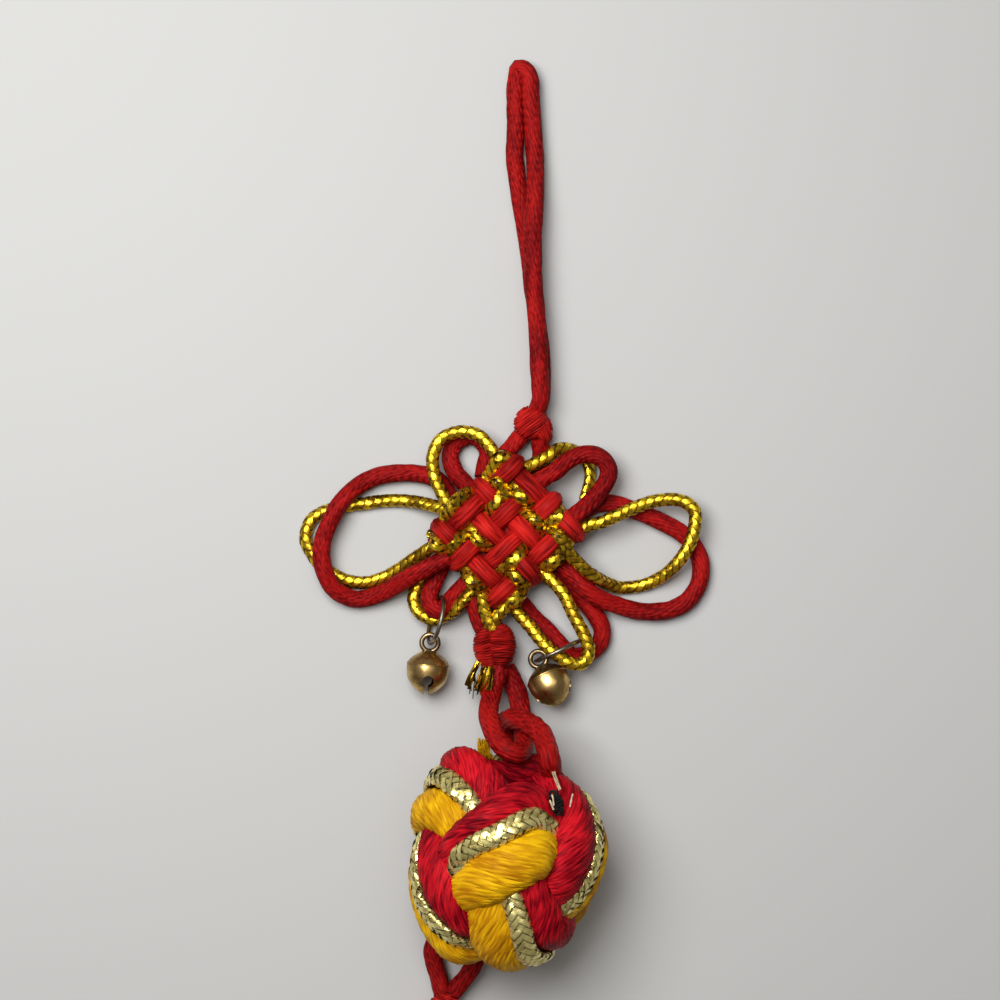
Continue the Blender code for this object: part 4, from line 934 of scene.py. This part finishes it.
def ball_cord(side_step, half_wide, half_high, step):
    """One cord of the ball: its closed middle line, its directions and its half width."""
    turn = np.array(BALL_TURN @ BALL_TILT @ BALL_SPIN)

    def place(phase):
        high = np.radians(BALL_SWING * np.cos(phase))
        lean = math.radians(BALL_SWING_LEAN) * np.sin(2 * phase)
        round_angle = BALL_LEADS / BALL_TURNS * phase - math.pi / 4 + lean
        flat = np.stack([np.cos(high) * np.cos(round_angle), np.cos(high) * np.sin(round_angle)])
        return np.vstack([flat, np.sin(high)]).T @ turn.T

    phase = np.linspace(0, 2 * math.pi * BALL_TURNS, 2400, endpoint=False)
    here = place(phase)
    aside = np.cross(here, unit(place(phase + 0.01) - here))
    edges = [
        pulled(unit(here + aside * (side_step + way * half_wide) / BALL_MEAN)) * BALL_RADII for way in (1, -1)
    ]
    wide = np.linalg.norm(edges[0] - edges[1], axis=1) / 2
    out = unit((edges[0] + edges[1]) / 2 / BALL_RADII)
    depth = half_high + BALL_DIVE * (1 + np.sin(2 * phase))
    line = BALL_CENTRE + out * ((1 - depth / BALL_MEAN) * ball_swell(out))[:, None] * BALL_RADII
    length = along(np.vstack([line, line[:1]]))
    stations = np.linspace(0, length[-1], round(length[-1] / step), endpoint=False)

    def spaced(values):
        whole = np.vstack([values, values[:1]])
        return np.stack([np.interp(stations, length, whole[:, k]) for k in range(whole.shape[1])], axis=1)

    line, out, wide = spaced(line), unit(spaced(out / BALL_RADII)), spaced(wide[:, None])[:, 0]
    ahead = unit(np.roll(line, -1, axis=0) - np.roll(line, 1, axis=0))
    aside = unit(np.cross(out, ahead))
    return line, (ahead, aside, np.cross(ahead, aside)), wide


yellow_silk = silk_material(
    "yellow_silk", (0.40, 0.155, 0.002), (0.82, 0.47, 0.005), wind=0.5, relief=0.00012
)
crimson_silk = silk_material(
    "crimson_silk", (0.10, 0.000, 0.004), (0.56, 0.008, 0.016), wind=0.5, relief=0.00012
)
# Bright and dull are the lit and dim facets of the lace's painted reflection.
ball_lace = braid_material("ball_lace", (0.98, 0.86, 0.34), (0.52, 0.42, 0.13), (0.03, 0.020, 0.006), 0.8)
for name, side_step, half_wide, seed, silk in (
    ("ball_red_cord", 4.0, 2.8, 131, crimson_silk), ("ball_yellow_cord", -4.35, 3.15, 132, yellow_silk),
):
    line, lie, wide = ball_cord(side_step, half_wide, 2.5, 0.6)
    tubes = lay_yarns(line, seed, radius=wide, high=2.5, yarns=30, yarn_r=0.20, lay=0.36, closed=True,
                      lie=lie)
    thick_cord = make_piece(name, tubes, silk, crisp=True)
    fit_piece(thick_cord, "ball_cords", "ball_knot")
lace_line, lace_lie, _ = ball_cord(0.0, 1.3, 0.75, 0.3)
lace_tubes = braid_strips(lace_line, 133, wide=1.4, high=0.7, pairs=6, turn=0.85, strip_wide=0.92,
                          strip_thick=0.09, lift=0.10, tilted=0.13, closed=True, lie=lace_lie)
lace = make_piece("ball_lace", lace_tubes, ball_lace, crisp=True)
fit_piece(lace, "ball_cords")

# ------------------------------------------------------------ thread tie
# Black sewing thread wound round two of the ball's cords, with the
# pale cut ends of a second thread.
thread_black, _, _, thread_shader = shader_of("thread_black")
thread_shader.inputs["Base Color"].default_value = (0.006, 0.006, 0.007, 1)
thread_shader.inputs["Roughness"].default_value = 0.7
thread_shader.inputs["Specular IOR Level"].default_value = 0.2
tie_low, tie_high = (np.array(corner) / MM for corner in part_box("thread_tie"))
tie_middle = (tie_low + tie_high) / 2
tie_out = unit(tie_middle - BALL_CENTRE)
tie_side = unit(np.cross(tie_out, (0.25, 1.0, 0.0)))
tie_along = np.cross(tie_out, tie_side)
tie_rng = np.random.default_rng(151)
tie_tubes = []
TIE_TURNS = 15
TIE_MIDDLE_TURN = 7
THREAD_R = 0.13
for k in range(TIE_TURNS):
    shift = (k - TIE_MIDDLE_TURN) * 0.2 + tie_rng.uniform(-0.15, 0.15)
    lean = tie_rng.uniform(-0.7, 0.7)
    loose = 1.0 - 0.35 * abs(k - TIE_MIDDLE_TURN) / TIE_MIDDLE_TURN
    loop_route = []
    for phi in np.linspace(0, 2 * math.pi, 10, endpoint=False):
        across = 0.85 * loose * math.cos(phi) * (1 + 0.25 * tie_rng.uniform(-1, 1))
        outward = 0.8 * loose * math.sin(phi) * (1 + 0.2 * tie_rng.uniform(-1, 1)) - 0.8
        lengthways = tie_along * (shift + lean * math.cos(phi))
        loop_route.append(tie_middle + tie_side * across + lengthways + tie_out * outward)
    thread_line = closed_line(loop_route, 0.25)
    tie_tubes.append(plain_tube(thread_line, THREAD_R, 6, 0.5, True))
for start, swing in ((-1.2, (-0.2, -1.2)), (0.2, (1.3, -0.3))):
    ends = [
        tie_middle + tie_along * start - tie_out * 0.2,
        tie_middle + tie_along * (start + swing[1] * 0.7) + tie_side * swing[0] * 0.6 + tie_out * 0.15,
        tie_middle + tie_along * (start + swing[1] * 1.6) + tie_side * swing[0] * 1.3 - tie_out * 0.1,
    ]
    thread_line = smooth_route(ends, 0.25)
    tie_tubes.append(plain_tube(thread_line, THREAD_R, 6, 0.5))
tie = make_piece("black_thread_tie", tie_tubes, thread_black)
fit_piece(tie, "black_thread", "thread_tie")

PALE_ENDS = [
    [(6.2, 7.1, 20.0), (6.55, 6.1, 20.9), (7.1, 4.8, 21.5)],
    [(6.45, 7.15, 20.0), (6.8, 6.1, 20.9), (7.25, 4.9, 21.4)],
    [(6.1, 4.3, 22.3), (6.25, 3.7, 22.7), (6.3, 2.9, 23.2)],
    [(5.8, 3.6, 22.6), (6.0, 3.1, 23.0), (6.3, 2.4, 23.4)],
    [(8.9, 4.2, 20.3), (8.7, 3.5, 20.9), (8.5, 2.6, 21.6)],
]
pale_thread = silk_material("pale_thread", (0.34, 0.25, 0.14), (0.68, 0.55, 0.38), roughness=0.4)
pale_tubes = []
for k, ends in enumerate(PALE_ENDS):
    pale_tubes.append(plain_tube(smooth_route(ends, 0.2), 1.0, 6, 0.2 + 0.16 * k, wide=0.12, high=0.07))
pale_ends = make_piece("pale_thread_ends", pale_tubes, pale_thread)
fit_piece(pale_ends, "ball_cords")

# The cut end of the yellow cord peeps out beside the link, a tuft of loose yarns.
tuft_rng = np.random.default_rng(155)
tuft_tubes = []
TUFT_YARNS = 110
for _ in range(TUFT_YARNS):
    foot = np.array((-2.5, 7.4, 9.8)) + tuft_rng.uniform(-0.9, 0.9, 3)
    tip = np.array((-3.1, 10.1, 10.6)) + tuft_rng.uniform(-0.8, 0.8, 3)
    bend = (foot + tip) / 2 + tuft_rng.uniform(-0.25, 0.25, 3)
    tuft_line = smooth_route([foot, bend, tip], 0.3)
    tuft_tubes.append(plain_tube(tuft_line, 0.06, 5, tuft_rng.uniform(0.2, 1.0)))
tuft = make_piece("yellow_cord_tuft", tuft_tubes, yellow_silk)
fit_piece(tuft, "ball_cords")

# ------------------------------------------------------------ gold cut ends
# Where the gold braid comes out under the bottom knot it is cut, and its strips splay.
GOLD_TAILS = [
    [(-4.8, 20.0, 4.1), (-5.4, 18.8, 4.2), (-5.8, 17.4, 3.8)],
    [(-3.7, 19.3, 4.4), (-4.1, 17.8, 4.6), (-4.4, 16.2, 4.4)],
    [(-2.7, 19.4, 5.9), (-3.0, 18.0, 6.4), (-3.6, 16.9, 6.5)],
]
TAIL_SHIFT = np.array((0.5, -0.3, 0.3))
core_black = silk_material("core_black", (0.004, 0.003, 0.004), (0.016, 0.011, 0.010))
core_rng = np.random.default_rng(165)
core_tubes = []
CORE_FIBRES = 14
for _ in range(CORE_FIBRES):
    foot = np.array((-3.6, 19.0, 4.2)) + core_rng.uniform(-1, 1, 3) * (0.9, 0.4, 0.5)
    tip = foot + (core_rng.uniform(-0.7, 0.5), core_rng.uniform(-3.4, -2.0), core_rng.uniform(-0.6, 0.8))
    bend = (foot + tip) / 2 + core_rng.uniform(-0.25, 0.25, 3)
    core_line = smooth_route([foot, bend, tip], 0.4)
    core_tubes.append(plain_tube(core_line, 0.07, 5, core_rng.uniform(0, 1)))
core_fibres = make_piece("gold_core_fibres", core_tubes, core_black)
fit_piece(core_fibres, "gold_braid")
TAIL_STRIPS = 9
STRIP_HALF_WIDE = 0.23
STRIP_HALF_THICK = 0.05
for k, route in enumerate(GOLD_TAILS, start=1):
    tail_rng = np.random.default_rng(160 + k)
    tail_tubes = []
    for _ in range(TAIL_STRIPS):
        spread = tail_rng.uniform(-1, 1, 3) * (0.25, 0.15, 0.25)
        splay = tail_rng.uniform(-1, 1, 3) * (0.75, 0.3, 0.6)
        length = tail_rng.uniform(0.7, 1.0)
        points = drawn_in(route, 1.2, 0)
        strip_route = [
            np.array(p) + TAIL_SHIFT + spread + splay * (i / (len(points) - 1)) ** 1.5
            for i, p in enumerate(points)
        ]
        strip_line = smooth_route(strip_route, 0.2)
        strip_line = strip_line[: max(6, int(len(strip_line) * length))]
        strip_line[:, 2] = np.maximum(strip_line[:, 2], 0.3)
        ahead, side, up = directions(strip_line)
        turn = tail_rng.uniform(0, 6.3) + along(strip_line) * tail_rng.uniform(-0.7, 0.7)
        flat = side * np.cos(turn)[:, None] + up * np.sin(turn)[:, None]
        thin = np.cross(ahead, flat)
        edge_way, face_way = flat * STRIP_HALF_WIDE, thin * STRIP_HALF_THICK
        ways = (edge_way, face_way, -edge_way, -face_way)
        rings = np.stack([strip_line + way for way in ways], axis=1)
        tail_tubes.append((rings, along(strip_line), tail_rng.uniform(0.0, 1.0), False))
    tail = make_piece(f"gold_cut_end_{k}", tail_tubes, gold_braid, crisp=True)
    fit_piece(tail, "gold_braid", f"gold_tail_{k}")

# ------------------------------------------------------------ rings
# Each bell hangs on a closed ring of dull steel wire that stands on edge and goes round
# the cords of a lower ear.
RING_R = 3.3
RING_WIRE = 0.3
LEFT_EYE = (-10.5, 23.4, 3.65)
RIGHT_EYE = (4.2, 20.9, 3.65)

# Worn metal: stains of tarnish, and fine scratches.
wear, wear_in, wear_out = new_group(
    "metal_wear",
    [("Scale", "NodeSocketFloat", 900.0), ("Clean", "NodeSocketColor", (0.6, 0.4, 0.15, 1)),
     ("Tarnish", "NodeSocketColor", (0.15, 0.09, 0.04, 1)), ("Amount", "NodeSocketFloat", 0.5)],
    [("Color", "NodeSocketColor"), ("Roughness", "NodeSocketFloat"), ("Height", "NodeSocketFloat")],
)
wear_place = wear.nodes.new("ShaderNodeTexCoord").outputs["Object"]
stains = wear.nodes.new("ShaderNodeTexNoise")
stains.inputs["Detail"].default_value = 6.0
stains.inputs["Roughness"].default_value = 0.65
wear.links.new(wear_place, stains.inputs["Vector"])
wear.links.new(wear_in.outputs["Scale"], stains.inputs["Scale"])
stained = wear.nodes.new("ShaderNodeMapRange")
stained.inputs["From Min"].default_value = 0.38
stained.inputs["From Max"].default_value = 0.66
wear.links.new(stains.outputs["Fac"], stained.inputs["Value"])
stain_share = math_node(wear, "MULTIPLY", stained.outputs[0], wear_in.outputs["Amount"])
for label, socket in (
    ("Color", colour_mix(wear, stain_share, wear_in.outputs["Clean"], wear_in.outputs["Tarnish"])),
    ("Roughness", math_node(wear, "MULTIPLY_ADD", stained.outputs[0], 0.3, 0.22)),
    ("Height", noise_node(wear, wear_place, 4000.0, 3.0)),
):
    wear.links.new(socket, wear_out.inputs[label])


def metal_material(name, clean, tarnish, amount, scale=900.0):
    values = {"Scale": scale, "Clean": clean, "Tarnish": tarnish, "Amount": amount}
    material, group, shader = patterned(name, wear, values, 0.25, 0.00002)
    material.node_tree.links.new(group.outputs["Roughness"], shader.inputs["Roughness"])
    shader.inputs["Metallic"].default_value = 1.0
    return material


ring_steel = metal_material("ring_steel", (0.34, 0.30, 0.25), (0.09, 0.07, 0.05), 0.85)
for side_name, eye, direction, lean in (
    ("left", LEFT_EYE, (0.25, 0.97), 13), ("right", RIGHT_EYE, (0.905, 0.425), -2),
):
    ring_along = unit(np.array((*direction, 0.0)))
    ring_beside = np.array((ring_along[1], -ring_along[0], 0.0))
    tip = math.radians(lean)
    ring_up = ring_beside * math.sin(tip) + np.array((0, 0, 1.0)) * math.cos(tip)
    ring_centre = np.array(eye) + ring_along * RING_R
    turn = np.linspace(0, 2 * math.pi, 96, endpoint=False)[:, None]
    ring_line = ring_centre + RING_R * (np.cos(turn) * ring_along + np.sin(turn) * ring_up)
    ring_wire = plain_tube(ring_line, RING_WIRE, 14, 0.5, True)
    ring = make_piece(f"steel_ring_{side_name}", [ring_wire], ring_steel)
    fit_piece(ring, "steel_wire", f"ring_{side_name}")

# ------------------------------------------------------------ bells
# Two small bells of thin worn brass: a shallow crown with a wire eye crimped to a deeper
# bowl, slotted across the foot with a round hole at each end of the slot.
BELL_EYE_R = 1.15
BELL_EYE_WIRE = 0.35
BELL_SEAM_FROM_EYE = 2.95
BELL_SLOT = (8, 0.6, 3)  # along the slot, across it and down the bell
BELL_SLOT_DOWN = 3.8
BELL_HOLE_R = 0.82
BELL_HOLE_DOWN = 2.3
BELL_OUTSIDE = [
    (0.0, -2.0), (0.45, -1.96), (0.85, -1.84), (1.3, -1.6), (1.8, -1.26), (2.25, -0.92), (2.6, -0.58),
    (2.82, -0.28), (2.92, -0.12), (2.99, -0.06), (2.99, 0.06), (2.92, 0.12), (2.95, 0.5), (2.92, 1.1),
    (2.82, 1.75), (2.62, 2.3), (2.3, 2.8), (1.9, 3.26), (1.4, 3.7), (0.85, 4.05), (0.4, 4.2), (0.0, 4.25),
]
BELL_INSIDE = [
    (0.0, -1.55), (1.5, -1.3), (2.4, -0.45), (2.6, 0.3), (2.55, 1.3), (2.25, 2.3), (1.65, 3.1), (0.95, 3.65),
    (0.0, 3.9),
]
bell_brass = metal_material("bell_brass", (0.70, 0.47, 0.17), (0.11, 0.060, 0.022), 0.95, 420.0)
eye_brass = metal_material("eye_brass", (0.30, 0.21, 0.11), (0.07, 0.045, 0.025), 0.85, 420.0)
# Inside each bell the brass is painted dark: painted shade in the hollow.
bell_inside_shade = metal_material("bell_inside_shade", (0.07, 0.045, 0.025), (0.02, 0.014, 0.01), 0.8, 420.0)


def lathe(points, matrix, around=72):
    """A closed turned form: points are (radius, down the bell)."""
    form = bmesh.new()
    rows, poles = [], []
    for radius, down in points:
        if radius == 0.0:
            poles.append(form.verts.new(matrix @ Vector((0, 0, down * MM))))
            continue
        angles = [2 * math.pi * i / around for i in range(around)]
        rows.append([
            form.verts.new(matrix @ Vector((radius * MM * math.cos(a), radius * MM * math.sin(a), down * MM)))
            for a in angles
        ])
    for upper, lower in zip(rows, rows[1:]):
        for i in range(around):
            k = (i + 1) % around
            form.faces.new((upper[i], upper[k], lower[k], lower[i]))
    for i in range(around):
        k = (i + 1) % around
        form.faces.new((poles[0], rows[0][k], rows[0][i]))
        form.faces.new((poles[1], rows[-1][i], rows[-1][k]))
    bmesh.ops.recalc_face_normals(form, faces=form.faces)
    return form


def cut(piece, tool_form, cut_face_material=None):
    """Take a form away from a piece at once; the new faces can have their own material."""
    tool_mesh = bpy.data.meshes.new("bell_tool")
    tool_form.to_mesh(tool_mesh)
    tool_form.free()
    tool = bpy.data.objects.new("bell_tool", tool_mesh)
    bpy.context.scene.collection.objects.link(tool)
    step = piece.modifiers.new("cut", "BOOLEAN")
    step.operation = "DIFFERENCE"
    step.solver = "EXACT"
    step.object = tool
    if cut_face_material:
        tool_mesh.materials.append(cut_face_material)
        step.material_mode = "TRANSFER"
    bpy.context.view_layer.update()
    done = bpy.data.meshes.new_from_object(piece.evaluated_get(bpy.context.evaluated_depsgraph_get()))
    piece.modifiers.clear()
    piece.data = done
    bpy.data.objects.remove(tool, do_unlink=True)


for side_name, eye, direction, rise, roll in (
    ("left", (LEFT_EYE[0], LEFT_EYE[1], 3.05), (-0.08, -1.0), 0, 4),
    ("right", (RIGHT_EYE[0] + 0.4, RIGHT_EYE[1] + 0.2, 2.1), (0.42, -0.91), 18, 90),
):
    level = Vector((*direction, 0)).normalized() * math.cos(math.radians(rise))
    axis = level + Vector((0, 0, math.sin(math.radians(rise))))
    side = Vector((0, 0, 1)).cross(axis).normalized()
    up = axis.cross(side)
    slot_way = up * math.cos(math.radians(roll)) + side * math.sin(math.radians(roll))
    across = axis.cross(slot_way)
    seam = (Vector(eye) + axis * BELL_SEAM_FROM_EYE) * MM
    place = Matrix.Translation(seam) @ Matrix((slot_way, across, axis)).transposed().to_4x4()
    form = lathe(BELL_OUTSIDE, place)
    mesh = bpy.data.meshes.new(f"brass_bell_{side_name}")
    form.to_mesh(mesh)
    form.free()
    mesh.materials.append(bell_brass)
    bell = bpy.data.objects.new(f"brass_bell_{side_name}", mesh)
    bpy.context.scene.collection.objects.link(bell)
    cut(bell, lathe(BELL_INSIDE, place, 40), bell_inside_shade)
    slot = bmesh.new()
    bmesh.ops.create_cube(slot, size=1.0)
    bmesh.ops.scale(slot, vec=Vector(BELL_SLOT) * MM, verts=slot.verts)
    bmesh.ops.translate(slot, vec=(0, 0, BELL_SLOT_DOWN * MM), verts=slot.verts)
    bmesh.ops.transform(slot, matrix=place, verts=slot.verts)
    cut(bell, slot)
    hole = bmesh.new()
    bmesh.ops.create_cone(
        hole, cap_ends=True, segments=32, radius1=BELL_HOLE_R * MM, radius2=BELL_HOLE_R * MM, depth=8 * MM
    )
    lay_down = Matrix.Translation((0, 0, BELL_HOLE_DOWN * MM)) @ Matrix.Rotation(math.pi / 2, 4, "Y")
    bmesh.ops.transform(hole, matrix=place @ lay_down, verts=hole.verts)
    cut(bell, hole)
    bell.data.shade_smooth()
    bell.data.set_sharp_from_angle(angle=math.radians(38))
    fit_piece(bell, "brass", f"bell_{side_name}", body=f"bell_{side_name}")
    turn = np.linspace(0, 2 * math.pi, 48, endpoint=False)[:, None]
    eye_line = np.array(eye) + BELL_EYE_R * (np.cos(turn) * np.array(axis) + np.sin(turn) * np.array(side))
    eye_wire = plain_tube(eye_line, BELL_EYE_WIRE, 12, 0.5, True)
    bell_eye = make_piece(f"bell_eye_{side_name}", [eye_wire], eye_brass)
    fit_piece(bell_eye, "brass", body=f"bell_{side_name}")

# ------------------------------------------------------------ tassel
# A hank of silk yarn folded over the tassel knot's cord, tied at the neck with gold
# braid and cut level at the foot.
TASSEL_TOP = (-8.2, -30.6)
TASSEL_LONG = 72.8
TASSEL_YARN_R = 0.28
YARN_COUNT = 310
TASSEL_SECTIONS = [  # how far down, half the width and half the height
    (0.0, 1.3, 1.3), (0.8, 3.0, 2.7), (2.6, 4.2, 3.6), (5.2, 4.7, 3.8), (7.8, 4.3, 3.7), (9.4, 3.0, 3.0),
    (11.8, 3.0, 3.0), (13.6, 4.2, 3.5), (18.0, 5.4, 3.9), (28.0, 6.4, 3.6), (42.0, 7.2, 3.2),
    (58.0, 8.0, 2.8), (TASSEL_LONG, 8.8, 2.4),
]
TASSEL_DRIFT = 1.6
NECK_HEIGHT = 3.85
NECK_R = 3.2  # of the gold binding's turns
NECK_DOWN = 9.5
downs, wides, highs = (np.array(column) for column in zip(*TASSEL_SECTIONS))
tassel_rng = np.random.default_rng(201)
tassel_tubes = []
for k in range(YARN_COUNT):
    angle = tassel_rng.uniform(0, 2 * math.pi)
    depth = math.sqrt(tassel_rng.uniform(0.12, 1.0)) if k % 3 else 1.0
    reach = TASSEL_LONG + tassel_rng.uniform(-1.6, 0.0)
    down = np.linspace(0.3, reach, 42)
    wide = np.interp(down, downs, wides) - 0.3
    high = np.interp(down, downs, highs) - 0.3
    drift = TASSEL_DRIFT * (down / TASSEL_LONG) ** 2
    loosened = np.clip((down - 14) / 58, 0, 1)
    wander = tassel_rng.uniform(-0.5, 0.5)
    sway = loosened * (wander * np.sin(down / tassel_rng.uniform(6, 14) + tassel_rng.uniform(0, 6.3)))
    swing = angle + loosened * tassel_rng.uniform(-0.25, 0.25)
    middle_z = np.where(down < 12.5, NECK_HEIGHT, np.interp(down, [12.5, 14, 100], [NECK_HEIGHT, 3.5, 3.5]))
    middle_z = np.minimum(middle_z, np.where(down > 13.5, high + 0.3, 99.0))
    line = np.stack([
        TASSEL_TOP[0] + drift + wide * depth * np.cos(swing) + sway,
        TASSEL_TOP[1] - down,
        np.maximum(middle_z + high * depth * np.sin(swing), 0.3),
    ], axis=1)
    line[:, 0] = np.clip(line[:, 0], TASSEL_TOP[0] - 9.5, TASSEL_TOP[0] + 11.5)
    tassel_tubes.append(plain_tube(line, TASSEL_YARN_R, 4, tassel_rng.uniform(0.1, 1.0)))
# The cord that the hank is folded over comes down to it from the knot.
HANGING_CORD = [(-8.3, -28.6, 2.8), (-8.25, -30.2, 2.9), (-8.2, -31.6, 3.5), (-8.2, -33.0, 3.85)]
tassel_tubes += lay_yarns(smooth_route(HANGING_CORD, CORD_STEP), 202)
tassel = make_piece("silk_tassel", tassel_tubes, red_silk)
fit_piece(tassel, "red_silk", "tassel")

neck_tubes = []
for k in range(2):
    turn_route = []
    for phi in np.linspace(0, 2 * math.pi, 14, endpoint=False):
        turn_route.append((
            TASSEL_TOP[0] + 0.03 + NECK_R * math.cos(phi),
            TASSEL_TOP[1] - NECK_DOWN - 0.7 - 0.9 * k + 0.1 * math.cos(phi),
            NECK_HEIGHT + NECK_R * math.sin(phi),
        ))
    neck_tubes += braid_strips(closed_line(turn_route, BRAID_STEP), 210 + k, wide=0.6, high=0.6, closed=True)
neck = make_piece("gold_neck_binding", neck_tubes, gold_braid, crisp=True)
fit_piece(neck, "gold_braid", "neck_binding")

# ------------------------------------------------------------ table and light
# A plain pale grey table under broad soft light from above and the upper left.
table_mesh = bpy.data.meshes.new("table")
table_mesh.from_pydata([(-1, -1, 0), (1, -1, 0), (1, 1, 0), (-1, 1, 0)], [], [(0, 1, 2, 3)])
table = bpy.data.objects.new("table", table_mesh)
bpy.context.scene.collection.objects.link(table)
table_paint, _, _, table_shader = shader_of("table_paint")
table_shader.inputs["Base Color"].default_value = (0.455, 0.455, 0.45, 1)
table_shader.inputs["Roughness"].default_value = 0.6
table_mesh.materials.append(table_paint)
table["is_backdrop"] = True

for name, place, size, power, colour in (
    ("window_light", (-0.10, 0.14, 0.32), 0.22, 1.58, (1.0, 1.0, 0.99)),
    ("ceiling_light", (0.12, 0.20, 0.70), 0.5, 0.8, (1.0, 0.98, 0.96)),
):
    light_data = bpy.data.lights.new(name, "AREA")
    light_data.size = size
    light_data.energy = power
    light_data.color = colour
    light = bpy.data.objects.new(name, light_data)
    bpy.context.scene.collection.objects.link(light)
    light.location = place
    light.rotation_euler = (Vector((0, 0.03, 0)) - Vector(place)).to_track_quat("-Z", "Y").to_euler()
world = bpy.data.worlds.new("room")
bpy.context.scene.world = world
world.use_nodes = True
world.node_tree.nodes["Background"].inputs["Color"].default_value = (0.97, 0.92, 0.90, 1)
world.node_tree.nodes["Background"].inputs["Strength"].default_value = 0.15

low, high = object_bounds()
